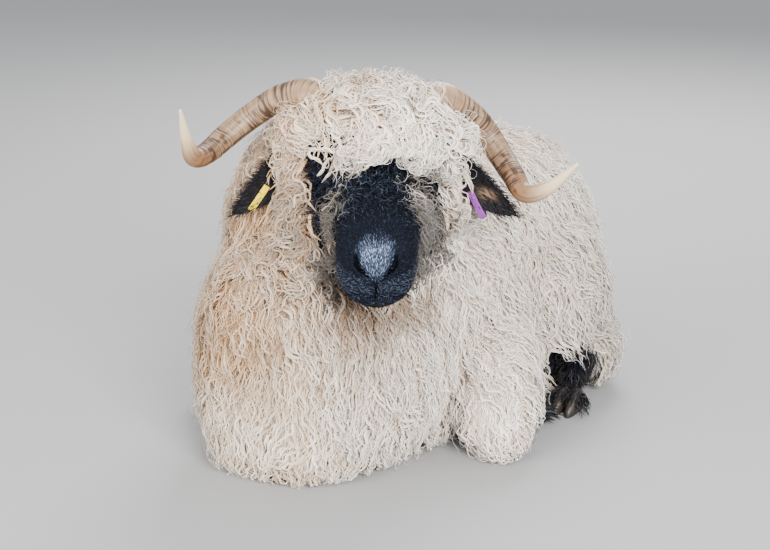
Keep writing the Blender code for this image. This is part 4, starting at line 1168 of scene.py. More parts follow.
class EweWool(bpy.types.PropertyGroup):
    """Sizes and colours of the wool"""

    strands: IntProperty(name="Fleece strands", default=8500, min=100,
                         description="How many thin strands the fleece has")
    locks: IntProperty(name="Fleece locks", default=2700, min=100,
                       description="How many broad locks lie among the strands")
    lock_radius: FloatProperty(name="Lock radius", default=0.0020, unit="LENGTH",
                               description="Half the width of a broad lock")
    under: IntProperty(name="Underwool tufts", default=3000, min=100,
                       description="How many broad tufts lie under the strands")
    dense: FloatProperty(name="Dense wool", default=0.016, unit="LENGTH",
                         description="Thickness of the dense wool under the strands")
    length: FloatProperty(name="Staple length", default=0.056, unit="LENGTH",
                          description="Length of a strand of the fleece")
    radius: FloatProperty(name="Strand radius", default=0.0008, unit="LENGTH",
                          description="Half the thickness of a strand of the fleece")
    loft: FloatProperty(name="Loft", default=0.031, unit="LENGTH",
                        description="Height of the fleece over the skin")
    crimp: FloatProperty(name="Crimp", default=0.0031, unit="LENGTH",
                         description="Radius of the waves of the fleece")
    crimp_length: FloatProperty(name="Crimp length", default=0.026, unit="LENGTH",
                                description="Length of one wave of the fleece")
    curls: IntProperty(name="Head strands", default=5600, min=100,
                       description="How many curls the forelock and cheeks have")
    curl_radius: FloatProperty(name="Curl radius", default=0.0052, unit="LENGTH",
                               description="Radius of the curls of the forelock")
    curl_length: FloatProperty(name="Curl pitch", default=0.033, unit="LENGTH",
                               description="Way that one turn of a curl takes")
    cream: FloatVectorProperty(name="Cream", subtype="COLOR", default=(0.91, 0.825, 0.72),
                               description="Colour of clean wool")
    tan: FloatVectorProperty(name="Tan", subtype="COLOR", default=(0.61, 0.41, 0.245),
                             description="Colour of warm wool")
    # White of the wool on the ewe's left and of the tips, where the whitening is a painted
    # highlight
    white: FloatVectorProperty(name="White", subtype="COLOR", default=(0.97, 0.968, 0.96),
                               description="Colour of the bleached tips")
    # Stained wool under the chin, made darker as painted shadow of the head
    stain_and_shadow: FloatVectorProperty(name="Stain", subtype="COLOR", default=(0.235, 0.165, 0.108),
                               description="Colour of the wool stained under the chin")


class EweHorn(bpy.types.PropertyGroup):
    """Colours and rings of the horns"""

    rings: IntProperty(name="Rings", default=62, min=4, description="Growth rings of a horn")
    ridge: FloatProperty(name="Ridge", default=0.0010, unit="LENGTH",
                         description="Height of a growth ring")
    cream: FloatVectorProperty(name="Horn", subtype="COLOR", default=(0.30, 0.187, 0.105),
                               description="Colour of the horn near its root")
    brown: FloatVectorProperty(name="Ring", subtype="COLOR", default=(0.030, 0.014, 0.007),
                               description="Colour of the grooves between the rings")
    elbow: FloatVectorProperty(name="Elbow", subtype="COLOR", default=(0.185, 0.080, 0.030),
                               description="Colour of the bend before the tip")
    ivory: FloatVectorProperty(name="Tip", subtype="COLOR", default=(0.62, 0.47, 0.29),
                               description="Colour of the tip")


class EweStage(bpy.types.PropertyGroup):
    """Floor and light"""

    floor: FloatVectorProperty(name="Floor", subtype="COLOR", default=(0.265, 0.262, 0.258),
                               description="Colour of the floor")
    power: FloatProperty(name="Key light", default=350.0, unit="POWER",
                         description="Power of the largest light")


class EWE_OT_skin(bpy.types.Operator):
    """Lay one skin inside the solids of the flesh"""

    bl_idname = "ewe.skin"
    bl_label = "Skin"

    def execute(self, context):
        """Fuse the bodies, smooth them, add the carved face and measure distances."""
        verts, groups = join(flesh_bodies(CORE_INSET))
        body = add_mesh("body", verts, groups)
        fuse = body.modifiers.new("fuse", "REMESH")
        fuse.mode, fuse.voxel_size = "VOXEL", FUSE_SIZE
        soften = body.modifiers.new("soften", "SMOOTH")
        soften.factor, soften.iterations = SOFTEN_SHARE, SOFTEN_ROUNDS
        settle(body)
        places = mesh_points(body)
        move_points(body, places)
        face = add_mesh("face", *face_body())
        low, high = places.min(0) - FIELD_REACH, places.max(0) + FIELD_REACH
        low[2] = 0.0
        head = head_points(np.array([(a, b, c) for a in (-0.10, 0.10) for b in (-0.11, 0.11)
                                     for c in (-0.04, 0.25)]))
        grown["fields"] = [Field(body, low, high, BODY_CELL),
                           Field(face, head.min(0), head.max(0), FACE_CELL)]
        normals = np.empty((len(places), 3), np.float32)
        body.data.vertex_normals.foreach_get("vector", normals.ravel())
        thick = context.scene.ewe_wool.dense * deep_wool(places)
        move_points(body, places + normals * thick[:, None])
        body.data.update()
        skin = add_mesh("skin", *join([(mesh_points(item), faces_of(item))
                                       for item in (body, face)]))
        for item in (body, face):
            item.hide_render = item.hide_viewport = True
        grown.update(body=body, face=face, skin=skin)
        places = mesh_points(skin)
        paint(skin, skin_tone(places))
        bare = np.maximum(face_share(places), foot_share(places))
        layer = skin.data.attributes.new("woolly", "FLOAT", "POINT")
        layer.data.foreach_set("value", (1 - bare).astype(np.float32))
        seat(skin, skin_material(), FLESH_NODES)
        return {"FINISHED"}


class EWE_OT_fleece(bpy.types.Operator):
    """Grow the wavy wool of the body, neck, legs and tail"""

    bl_idname = "ewe.fleece"
    bl_label = "Fleece"

    def execute(self, context):
        """Spread roots, draw their lines over the skin, wave them and gather staples."""
        need_skin()
        wool = context.scene.ewe_wool
        rng = np.random.default_rng(SEED)

        def density(places):
            """Fleece on all but head and feet, thinner at the floor, denser in front."""
            head = on_head(head_place(places), 0.30, -0.10, 0.17)
            return (np.where(head, 0.0, 1.0) * (1 - foot_share(places))
                    * smooth(places[:, 2], 0.006, 0.03) * (1 + 0.35 * (places[:, 1] < -0.2)))

        material = strand_material("fleece", 0.62, 0.15, 0.2)
        count = wool.under // LESS
        roots, normals = scatter(grown["body"], count, rng,
                                 lambda places: np.maximum(
                                     density(places) * (0.4 + 0.9 * (places[:, 2] < 0.07)),
                                     head_zone(places)))
        shares = np.linspace(0, 1, 4)
        length, loft = rng.uniform(0.030, 0.046, count), rng.uniform(0.012, 0.021, count)
        line = strand_lines(roots, normals, length, loft, shares, rng.normal(0, 0.5, count),
                            rng.normal(0, 1.0, count))
        put_strands("underwool", line, normals, shares, rng.uniform(0.0020, 0.0036, count),
                    fleece_tint(roots, shares, rng, None, 0.25), roots, material,
                    roots[:, 1], 0.45, 0.6)

        centres, centre_normals = scatter(grown["body"], wool.strands // LESS // 11, rng, density)
        turn_of = rng.normal(0, 0.30, len(centres))
        phase_of = rng.uniform(0, 6.28, len(centres))
        size_of = rng.uniform(0.85, 1.2, len(centres))
        period_of = wool.crimp_length * rng.uniform(0.75, 1.5, len(centres))
        curl_of = rng.normal(0, 1.1, len(centres))
        shares = np.concatenate(((0, 0.14), np.linspace(0.24, 1, 9)))
        middle = strand_lines(centres, centre_normals, wool.length * size_of,
                              np.full(len(centres), wool.loft), shares, turn_of, curl_of)
        for word, count, thick, low, high, flat in (
                ("locks", wool.locks // LESS, wool.lock_radius, 0.55, 0.95, 0.5),
                ("fleece", wool.strands // LESS, wool.radius, 0.60, 1.15, 0.8)):
            roots, normals = scatter(grown["body"], count, rng, density)
            index = nearest_of(roots, centres)
            low_down = fall(roots[:, 2], 0.05, 0.12)
            length = wool.length * size_of[index] * rng.uniform(0.85, 1.15, count)
            length = length * (1 + 0.22 * low_down)
            loft = wool.loft * rng.uniform(low, high, count)
            dirty = rng.random(count) < 0.30 * wool_tone(roots)[1] * (word == "fleece")
            loose = (rng.random(count) < 0.05) | dirty
            loft = np.where(loose, wool.loft * 1.32, loft)
            line = strand_lines(roots, normals, length * (1 + 0.25 * dirty), loft, shares,
                                turn_of[index] + rng.normal(0, 0.12, count)
                                * (1 + 4 * (loose & ~dirty)), curl_of[index] * (1 + loose))
            line = gather(line, middle, shares, roots, centres, index,
                          np.where(loose, 0.1, 0.6)[:, None, None])
            line = wave(line, centre_normals[index], shares,
                        wool.crimp * rng.uniform(0.75, 1.25, count), length, period_of[index],
                        phase_of[index] + rng.normal(0, 0.25, count))
            line = clear_horns(line)
            radius = np.where(loose, 0.0005 + 0.0001 * dirty,
                              thick * rng.uniform(0.6, 1.4, count))
            colours = fleece_tint(roots, shares, rng, index)
            colours = np.where(dirty[:, None, None], DIRTY_WOOL, colours)
            put_strands(word, line, normals, shares, radius, colours, roots, material,
                        roots[:, 1], flat, 0.55)
        return {"FINISHED"}


class EWE_OT_forelock(bpy.types.Operator):
    """Grow the curls of the forelock and cheeks"""

    bl_idname = "ewe.forelock"
    bl_label = "Forelock"

    def execute(self, context):
        """Spread roots on the head, draw and curl their lines."""
        need_skin()
        wool = context.scene.ewe_wool
        rng = np.random.default_rng(SEED + 1)
        count = wool.curls // LESS
        roots, normals = scatter(grown["skin"], count, rng, head_zone)
        centres, centre_normals = scatter(grown["skin"], count // 13, rng, head_zone)
        index = nearest_of(roots, centres)
        shares = np.concatenate(((0, 0.14), np.linspace(0.24, 1, 13)))
        phase_of = rng.uniform(0, 6.28, len(centres))
        turn_of = rng.normal(0, 0.35, len(centres))
        curl_of = rng.uniform(2.8, 6.0, len(centres)) * rng.choice((-1, 1), len(centres))
        pitch_of = wool.curl_length * rng.uniform(0.75, 1.25, len(centres))
        crown = smooth(head_place(centres)[:, 1], 0.02, 0.08)
        long_of = (0.054 + 0.014 * crown) * rng.uniform(0.8, 1.25, len(centres))
        loft_of = 0.026 + 0.002 * crown
        loose = rng.random(count) < 0.04
        loft = loft_of[index] * np.where(loose, 1.45, rng.uniform(0.6, 1.12, count))
        beside = side_lock(head_place(roots)) > 0
        loft = np.where(beside, rng.uniform(0.004, 0.020, count), loft)
        length = long_of[index] * rng.uniform(0.85, 1.15, count) * np.where(beside, 0.8, 1.0)
        line = strand_lines(roots, normals, length, loft, shares,
                            turn_of[index] + rng.normal(0, 0.12, count) * (1 + 4 * beside),
                            curl_of[index] * (1 - 0.5 * beside), 0.35)
        middle = strand_lines(centres, centre_normals, long_of, loft_of, shares, turn_of,
                              curl_of, 0.35)
        hold = np.where(beside, 0.0, 0.55)[:, None, None]
        line = gather(line, middle, shares, roots, centres, index, hold)
        line = wave(line, centre_normals[index], shares,
                    wool.curl_radius * rng.uniform(0.7, 1.2, count) * (1 + 0.3 * beside), length,
                    pitch_of[index] * rng.uniform(0.97, 1.03, count),
                    phase_of[index] + rng.normal(0, 0.25, count), 0.9)
        line = clear_horns(line)
        keep = ~(hides_ear(line) | hides_eye(line, rng) & ~beside)
        colours = head_tint(roots, shares, rng, index)
        broad = ~loose & ~beside & (rng.random(count) < 0.25)
        radius = np.where(loose, 0.0005, rng.uniform(0.0005, 0.0011, count))
        radius = np.where(broad, rng.uniform(0.0014, 0.0026, count), radius)
        radius = np.where(beside, rng.uniform(0.0003, 0.0006, count), radius)
        material = strand_material("forelock", 0.55, 0.15, 0.3)
        put_strands("forelock", line[keep], normals[keep], shares, radius[keep], colours[keep],
                    roots[keep], material, roots[keep, 0], 0.6, 0.5)
        return {"FINISHED"}


class EWE_OT_face_hair(bpy.types.Operator):
    """Grow the short black hair of the face and feet"""

    bl_idname = "ewe.face_hair"
    bl_label = "Face hair"

    def execute(self, context):
        """Short bent strands over the face, longer towards the brow, and on the feet."""
        need_skin()
        rng = np.random.default_rng(SEED + 2)

        def on_face(places):
            """Face hair, denser on the nose and lips, and none in grooves and eyes."""
            local = head_place(places)
            eyes = np.minimum(eye_share(local, 1), eye_share(local, -1))
            zone = (face_share(places) > 0.2) | (eye_patch(local) > 0.3)
            zone &= read_fields(places)[0] > -0.004
            half = one_side(local)
            clear = np.ones(len(places))
            for groove, reach in ((NOSTRIL, 0.0036), (PHILTRUM, 0.0024), (MOUTH, 0.0020)):
                clear *= near_line(half, groove, snap=True)[0] > reach
            return (zone * clear * (local[:, 2] < 0.20) * smooth(eyes, 0.98, 1.10)
                    * (1 + 4.0 * nose_share(local)
                       + 1.6 * (local[:, 2] < 0.035) * (local[:, 1] < -0.005)))

        def on_brow(places):
            """Brow hair, from above the nose to the forelock."""
            back = head_place(places)[:, 2]
            return on_face(places) * smooth(back, 0.040, 0.085)

        side, up, out = head_axes()
        material = strand_material("face_hair", 0.5, 0.0, 0.14)
        for word, count, rows, zone in (("face_hair", FACE_HAIRS // LESS, 3, on_face),
                                        ("brow_hair", BROW_HAIRS // LESS, 5, on_brow)):
            shares = np.linspace(0, 1, rows)
            t = shares[None, :, None]
            curly = float(word == "brow_hair")
            roots, normals = scatter(grown["skin"], count, rng, zone)
            local = head_place(roots)
            brow = smooth(local[:, 2], 0.045, 0.115)
            length = (0.0050 + (0.0065 + 0.005 * curly) * brow
                      + 0.006 * eye_patch(local)) * rng.uniform(0.6, 1.4, count)
            nose = nose_share(local)[:, None]
            below = smooth(-local[:, 1], 0.006, 0.012) * hump(local[:, 0], 0, 0.007)
            way = (-out * (1 - 1.2 * brow)[:, None] - 0.4 * up + up * nose * 2.2
                   + side * local[:, :1] * (14 + 24 * nose)
                   + side * (np.sign(local[:, 0]) * 1.2 * below)[:, None]
                   + rng.normal(0, 0.35 + 0.35 * curly, (count, 3)))
            bend = rng.uniform(0.35, 0.75, (count, 1, 1)) + 0.5 * brow[:, None, None]
            line = short_hair(roots, normals, along_skin(way, normals), length[:, None, None],
                              t, 0.85, bend, depth=0.0003)
            light = rng.random((count, 1)) ** 2.2
            tone = FACE_HAIR + FACE_LIGHT * light + BROW_LIGHT * light ** 2 * curly
            crown = 0.45 + 0.55 * smooth(local[:, 1], -0.004, 0.014)[:, None]
            bright = nose * rng.uniform(0.3, 1.25, (count, 1))
            tone = (tone * (1 - np.minimum(bright, 1)) + NOSE_LIGHT * bright
                    * crown * (0.15 + 2.0 * light))
            lip = (fall(local[:, 2], 0.020, 0.050) * fall(local[:, 1], -0.012, 0.010)
                   * smooth(local[:, 1], -0.040, -0.030))
            tone = tone + LIP_LIGHT * lip[:, None] * (0.2 + 1.2 * light)
            colours = tone[:, None] * (0.5 + 0.7 * t)
            radius = (0.00036 + 0.00026 * brow) * rng.uniform(0.7, 1.4, count)
            line = wave(line, normals, shares,
                        (0.0014 + 0.0012 * curly) * brow * rng.uniform(0.4, 1.4, count), length,
                        np.full(count, 0.016 - 0.004 * curly), rng.uniform(0, 6.28, count), 0.8)
            put_strands(word, line, normals, shares, radius, colours, roots, material,
                        local[:, 2])

        count = FOOT_HAIRS // LESS
        claws = np.array([leg_place(spot, mirror) for mirror in (1, -1)
                          for spot in (FORE_HOOF, HIND_HOOF)])

        def on_foot(places):
            """Foot hair, five times as dense by the claws."""
            gap = np.linalg.norm(places[:, None] - claws[None], axis=2).min(1)
            return foot_share(places) * (1 + 4 * hump(gap, 0, 0.055))

        roots, normals = scatter(grown["body"], count, rng, on_foot)
        reach = claws[nearest_of(roots, claws)] - roots
        near = hump(np.linalg.norm(reach, axis=1), 0, 0.060)[:, None]
        way = np.array((0, 0, -1.0)) + rng.normal(0, 0.4, (count, 3)) + 2.5 * near * unit(reach)
        way = unit(way - (1 - near) * normals * np.sum(way * normals, 1, keepdims=True))
        length = rng.uniform(0.014, 0.026, (count, 1, 1)) * (1 + 0.9 * near[:, None])
        shares = np.linspace(0, 1, 4)
        line = short_hair(roots, normals, way, length, shares[None, :, None], 0.9, 0.7,
                          depth=0.001)
        line = wave(line, normals, shares, np.full(count, 0.0016), length.ravel(),
                    np.full(count, 0.02), rng.uniform(0, 6.28, count), 0.8)
        line[..., 2] = np.maximum(line[..., 2], FLOOR_GAP + 0.001)
        tones = foot_tones(rng, count, len(shares))
        put_strands("foot_hair", line, normals, shares, rng.uniform(0.0005, 0.0011, count),
                    tones, roots, material, roots[:, 0])
        return {"FINISHED"}


def horn_body(stations, mirror, rings, ridge):
    """A swept oval with growth rings: radius = r + ridge * weight * |sin(pi phase)|^0.7.

    The rings wander round the horn, lie closer towards the elbow and end before the tip.
    Returns the vertices, the faces and for each vertex its share of the length, its angle
    and how deep it lies in a groove.
    """
    rows, sides = 460, 56
    table = blend(stations, rows)
    path = on_side(table[:, :3], mirror)
    t = np.repeat(np.linspace(0, 1, rows), sides)
    angle = np.tile(turns(sides), rows)
    radii = np.maximum(table[:, 3], 0.0008) + 0.0012 * np.sin(math.pi * np.linspace(0, 1, rows))
    verts, groups = tube(path, radii, sides, head_axes()[1] + head_axes()[2], HORN_FLATNESS)
    pace = np.cumsum(1 + 0.9 * hump(np.linspace(0, 1, rows), 0.56, 0.16))
    round_it = np.stack((np.cos(angle), np.sin(angle), 9 * t), 1)
    phase = (np.repeat(pace / pace[-1] * rings, sides) + 0.45 * noise(round_it, 2.2, 61)
             + 0.8 * noise(np.stack((0 * t, 0 * t, 60 * t), 1), 2.0, 65))
    ring = np.sin(np.floor(phase) * 12.9898) * 43758.5453
    heavy = 0.25 + 1.1 * (ring - np.floor(ring)) ** 2
    swell = np.abs(np.sin(math.pi * phase))
    fine = np.abs(np.sin(3 * math.pi * phase))
    depth = 0.6 + 0.4 * noise(round_it * (1, 1, 4), 1.6, 62)
    fade = smooth(t, 0.02, 0.08) * fall(t, 0.66, 0.80) * depth
    middle = np.repeat(path, sides, axis=0)
    body = verts[:-2]
    lift = (swell ** 0.7 - 0.6) * (0.5 + 0.5 * heavy) + 0.12 * fine
    verts[:-2] = body + unit(body - middle) * (ridge * lift * fade)[:, None]
    groove = (1 - swell ** 0.45) * heavy * 1.7 + 0.22 * (1 - fine ** 0.6)
    return verts, groups, t, angle, groove * fade


def horn_tint(look, t, angle, groove):
    """Tan keratin with brown grooves, streaks and cracks, a brown elbow and an ivory tip."""
    along = np.stack((np.cos(angle), np.sin(angle), 1.2 * t), 1)
    streak = 0.5 + 0.5 * noise(along, 0.55, 63)
    blotch = 0.5 + 0.5 * noise(along * (1, 1, 6), 2.4, 64)
    base = np.array(look.cream) * (0.72 + 0.55 * streak)[:, None]
    elbow = hump(t, 0.70, 0.11)[:, None]
    base = base + (np.array(look.elbow) * (0.6 + 0.7 * streak)[:, None] - base) * 0.85 * elbow
    tip = smooth(t, 0.78, 0.93)[:, None] * (1 - 0.8 * smooth(streak, 0.56, 0.74))[:, None]
    base = base + (np.array(look.ivory) - base) * tip
    near = hump(t, 0.54, 0.13)
    mark = groove * (0.55 + 2.1 * smooth(blotch, 0.38, 0.65) + 1.6 * near)
    mark = mark + 0.5 * smooth(streak, 0.60, 0.85) * fall(t, 0.86, 0.96)
    crack = smooth(0.5 + 0.5 * noise(along * (2, 2, 26), 2.0, 66), 0.56, 0.80)
    mark = mark + 0.80 * crack * hump(t, 0.62, 0.12)
    mark = np.clip(mark + 0.30 * near * smooth(blotch, 0.45, 0.75), 0, 0.95)[:, None]
    return np.clip(base * (1 - mark) + np.array(look.brown) * mark, 0, 1)


class EWE_OT_horns(bpy.types.Operator):
    """Model both ringed horns"""

    bl_idname = "ewe.horns"
    bl_label = "Horns"

    def execute(self, context):
        """Sweep each horn and paint its rings, elbow and ivory tip."""
        look = context.scene.ewe_horn
        recipe = Recipe("horn")
        recipe.finish(Base_Color=painted(recipe), Roughness=0.46,
                      Normal=bumped(recipe, 420.0, 0.35, 0.0005), Specular_IOR_Level=0.4)
        for word, mirror, stations in HORNS:
            verts, groups, t, angle, groove = horn_body(stations, mirror, look.rings, look.ridge)
            made = add_mesh(f"horn_{word}_ringed", verts, groups)
            tone = horn_tint(look, t, angle, groove)
            paint(made, np.vstack((tone, tone[0], tone[-1])))
            seat(made, recipe.material, (f"horn_{word}",))
        return {"FINISHED"}


def ear_rings(stations, mirror):
    """A cupped leaf with its two ends: each ring is an arc of the inside and of the outside.

    The half width is W/2 (0.45 + 0.55 sin t), falling to the tip, the cup rises by
    0.34 width x^2 and the leaf is sqrt(1 - x^4) thick.
    """
    path = on_side(blend(stations, 70), mirror)
    out, across, tangent = path_frames(path, head_axes()[2])
    t = np.linspace(0, 1, len(path))
    width = EAR_WIDTH / 2 * (0.45 + 0.55 * np.sin(np.pi * np.minimum(t, 0.62) / 1.24))
    width = width * np.clip(1.0 - np.maximum((t - 0.36) / 0.65, 0) ** 2.2, 0.02, 1) ** 0.8
    x = np.sin(np.linspace(-math.pi / 2, math.pi / 2, 31))
    curl = 0.34 * width[:, None] * x ** 2
    thick = EAR_THICKNESS / 2 * np.sqrt(np.clip(1 - (x * 0.96) ** 4, 0, 1))
    spread = width[:, None, None] * x[None, :, None] * across[:, None]
    inner = path[:, None] + spread + (curl + thick)[..., None] * out[:, None]
    outer = path[:, None] + spread + (curl - thick)[..., None] * out[:, None]
    return (np.concatenate((inner, outer[:, ::-1]), 1), path[0] - tangent[0] * 0.004,
            path[-1] + tangent[-1] * 0.006)


def tag_bodies(line, mirror):
    """The folded strap of an ear tag and the pin that joins its two leaves."""
    ends = on_side(line, mirror)
    out = head_axes()[2]
    long = unit(ends[1] - ends[0])
    across = unit(np.cross(out, long))
    out = np.cross(long, across)
    bend = TAG_OPENING / 2
    turn = np.linspace(-math.pi / 2, math.pi / 2, 24)
    arc = np.stack((TAG_LENGTH - bend + bend * np.cos(turn), bend * np.sin(turn)), 1)
    straight = np.linspace(0, TAG_LENGTH - bend, 12)[:-1]
    line = np.vstack((np.stack((straight, 0 * straight - bend), 1), arc,
                      np.stack((straight[::-1], 0 * straight + bend), 1)))
    slope = unit(np.gradient(line, axis=0))
    lift = np.stack((-slope[:, 1], slope[:, 0]), 1)
    angle = turns(24)
    wide = power(np.cos(angle), 0.25) * TAG_WIDTH / 2
    thick = power(np.sin(angle), 0.35) * TAG_THICKNESS / 2
    flat = line[:, None] + lift[:, None] * thick[None, :, None]
    rings = (ends[0] + flat[..., :1] * long + flat[..., 1:] * out
             + wide[None, :, None] * across)
    strap = shell(rings, rings[0].mean(0), rings[-1].mean(0))
    reach = np.linspace(-bend - 0.0016, bend + 0.0016, 9)[:, None]
    knob = TAG_PIN_RADIUS * np.array((0.9, 1.35, 1.35, 0.8, 0.8, 0.8, 1.35, 1.35, 0.9))
    pin = tube(ends[0] + long * TAG_LENGTH * 0.25 + reach * out, knob, 20, across)
    return [strap, pin]


class EWE_OT_ears(bpy.types.Operator):
    """Model the ears and the tags worn in them"""

    bl_idname = "ewe.ears"
    bl_label = "Ears and tags"

    def execute(self, context):
        """Sweep each ear, grow its short hair and fold its strap."""
        rng = np.random.default_rng(SEED + 3)
        recipe = Recipe("ear")
        recipe.finish(Base_Color=painted(recipe), Roughness=0.7,
                      Normal=bumped(recipe, 700.0, 0.6, 0.0008), Specular_IOR_Level=0.12)
        hair = strand_material("ear_hair", 0.5, 0.0, 0.25)
        plastics = {}
        for word, colour in (("left", PURPLE), ("right", YELLOW)):
            plastic = Recipe(f"tag_{word}")
            plastics[word] = plastic.finish(Base_Color=(*colour, 1.0), Roughness=0.38,
                                            Normal=bumped(plastic, 90.0, 0.15, 0.0005))
        for word, mirror, ear, tag, slot in EARS:
            rings, start, end = ear_rings(ear, mirror)
            made = add_mesh(f"ear_{word}_leaf", *shell(rings, start, end))
            places = mesh_points(made)
            shade = EAR_SKIN * (1 + 0.4 * noise(places, 0.01, 41))[:, None]
            local = head_place(places)
            spot = (np.array(EAR_LEFT[2]) * 0.35 + np.array(EAR_LEFT[3]) * 0.65)
            inside = np.exp(-np.sum(((local - spot) / (0.013, 0.007, 0.02)) ** 2, 1))
            shade = shade + EAR_INSIDE * (inside * (mirror > 0))[:, None]
            paint(made, shade)
            seat(made, recipe.material, (f"ear_{word}",))
            count = EAR_HAIRS // LESS
            roots, normals = scatter(made, count, rng)
            along = unit(end - start)
            middle = start + along * ((roots - start) @ along)[:, None]
            way = along + rng.normal(0, 0.35, (count, 3)) + 0.4 * normals + 22 * (roots - middle)
            shares = np.linspace(0, 1, 3)
            t = shares[None, :, None]
            length = rng.uniform(0.005, 0.013, (count, 1, 1))
            line = roots[:, None] - normals[:, None] * 0.0006 + unit(way)[:, None] * t * length
            line = line + along * (t * t) * length * 0.4
            tone = EAR_SKIN * rng.uniform(0.6, 4.0, (count, 1))
            put_strands(f"ear_{word}_hair", line, normals, shares, np.full(count, 0.0006),
                        np.repeat(tone[:, None], 3, 1), roots, hair, roots[:, 0])
            verts, groups = join(tag_bodies(tag, mirror))
            strap = add_mesh(f"tag_{word}_strap", verts, groups)
            seat(strap, plastics[word], (f"ear_tag_{word}",))
        return {"FINISHED"}


class EWE_OT_eyes(bpy.types.Operator):
    """Model the amber eyes with level pupils"""

    bl_idname = "ewe.eyes"
    bl_label = "Eyes"

    def execute(self, context):
        """Paint a ball by the angle from its gaze: dark slot, amber ring, dark rim."""
        side, up, out = head_axes()
        recipe = Recipe("eye")
        recipe.finish(Base_Color=painted(recipe), Roughness=0.12, Coat_Weight=1.0,
                      Coat_Roughness=0.03, Specular_IOR_Level=0.6)
        for word, mirror in (("left", 1), ("right", -1)):
            made = add_mesh(f"eye_{word}_ball", *round_body(
                on_side(EYE_CENTRE, mirror), np.full(3, EYE_RADIUS), (up, out, side), 60, 80))
            ball = unit(head_place(mesh_points(made)) - np.array(EYE_CENTRE) * (mirror, 1, 1))
            way = gaze(mirror)
            across = unit(np.cross(way, (0, 1, 0)))
            high = np.cross(across, way)
            x, y, z = ball @ across, ball @ high, ball @ way
            radius = np.hypot(x, y)
            pupil = (np.abs(x / 0.34) ** 2.6 + np.abs(y / 0.12) ** 2.6 < 1) & (z > 0)
            rays = 0.8 + 0.2 * np.sin(np.arctan2(y, x) * 41 + 3 * radius)
            shade = 1 - 0.5 * smooth(radius, 0.35, 0.66)
            iris = IRIS * rays[:, None] * shade[:, None]
            tone = np.where(((radius < 0.64) & (z > 0))[:, None], iris, EYE_WHITE)
            tone = np.where((np.abs(radius - 0.65) < 0.04)[:, None], IRIS_RIM, tone)
            paint(made, np.where(pupil[:, None], PUPIL, tone))
            seat(made, recipe.material, (f"eye_{word}",))
        return {"FINISHED"}


class EWE_OT_hooves(bpy.types.Operator):
    """Model the eight claws"""

    bl_idname = "ewe.hooves"
    bl_label = "Hooves"

    def execute(self, context):
        """Each claw is a wedge with rounded section, with fine rings and hair over it."""
        rng = np.random.default_rng(SEED + 4)
        tufts = []
        recipe = Recipe("hoof")
        recipe.finish(Base_Color=painted(recipe), Roughness=0.5,
                      Normal=bumped(recipe, 240.0, 0.4, 0.0008))
        for word, mirror in (("left", 1), ("right", -1)):
            for kind, spot, heading in (("fore", FORE_HOOF, 1), ("hind", HIND_HOOF, -1)):
                for claw, splay in (("inner", -1), ("outer", 1)):
                    name = f"hoof_{kind}_{word}_{claw}"
                    centre = leg_place(spot, mirror)
                    centre[0] += splay * mirror * CLAW_SPLAY
                    made = add_mesh(f"{name}_claw", *claw_body(centre, heading))
                    places = mesh_points(made)
                    height = np.clip(places[:, 2] / CLAW_HEIGHT, 0, 1)
                    band = 0.85 + 0.15 * np.sin(places[:, 2] * 1900)
                    tone = (CLAW_TONE * (0.7 + 0.6 * height)[:, None]
                            * band[:, None] * (1 + 0.2 * noise(places, 0.01, 51))[:, None])
                    paint(made, tone)
                    seat(made, recipe.material, (name,))
                    tufts.append((*scatter(made, CLAW_HAIRS, rng, lambda spots: (
                        smooth(spots[:, 2], 0.008, 0.02)
                        * smooth((centre[1] - spots[:, 1]) * heading, -0.016, 0.0))), heading))
        roots, normals = (np.concatenate([tuft[k] for tuft in tufts]) for k in (0, 1))
        count = len(roots)
        toes = np.repeat([tuft[2] for tuft in tufts], count // 8)
        way = np.stack((normals[:, 0] * 0.6, 0.75 * toes, -0.55 + 0 * toes), 1)
        way = unit(way + rng.normal(0, 0.22, (count, 3)))
        shares = np.linspace(0, 1, 4)
        length = rng.uniform(0.014, 0.027, (count, 1, 1))
        line = short_hair(roots, normals, way, length, shares[None, :, None], 0.9, 0.9, 0.7)
        line[..., 2] = np.maximum(line[..., 2], FLOOR_GAP + 0.001)
        tones = foot_tones(rng, count, len(shares))
        put_strands("hoof_hair", line, normals, shares, rng.uniform(0.0006, 0.0012, count),
                    tones, roots, strand_material("hoof_hair", 0.6, 0, 0.2),
                    roots[:, 0])
        return {"FINISHED"}


def claw_body(centre, heading):
    """Rings along the claw: half width and top fall to the toe, soles lie at zero."""
    profile = blend(((-0.37, 0.24, 0.66), (-0.34, 0.38, 0.90), (-0.10, 0.50, 0.96),
                     (0.26, 0.44, 0.62), (0.48, 0.24, 0.30), (0.53, 0.10, 0.14)), 40)
    angle = turns(36)
    half = CLAW_WIDTH * profile[:, 1:2] * power(np.cos(angle), 0.8)
    top = CLAW_HEIGHT * profile[:, 2:3]
    rings = np.empty((40, 36, 3))
    rings[..., 0] = centre[0] + half
    rings[..., 1] = centre[1] + heading * profile[:, :1] * CLAW_LENGTH
    rings[..., 2] = np.maximum(top / 2 + (top / 2 + 0.002) * np.sin(angle), 0.0005)
    start = centre + (0, -heading * 0.38 * CLAW_LENGTH, 0.35 * CLAW_HEIGHT)
    end = centre + (0, heading * 0.54 * CLAW_LENGTH, 0.0030)
    return shell(rings, start, end)


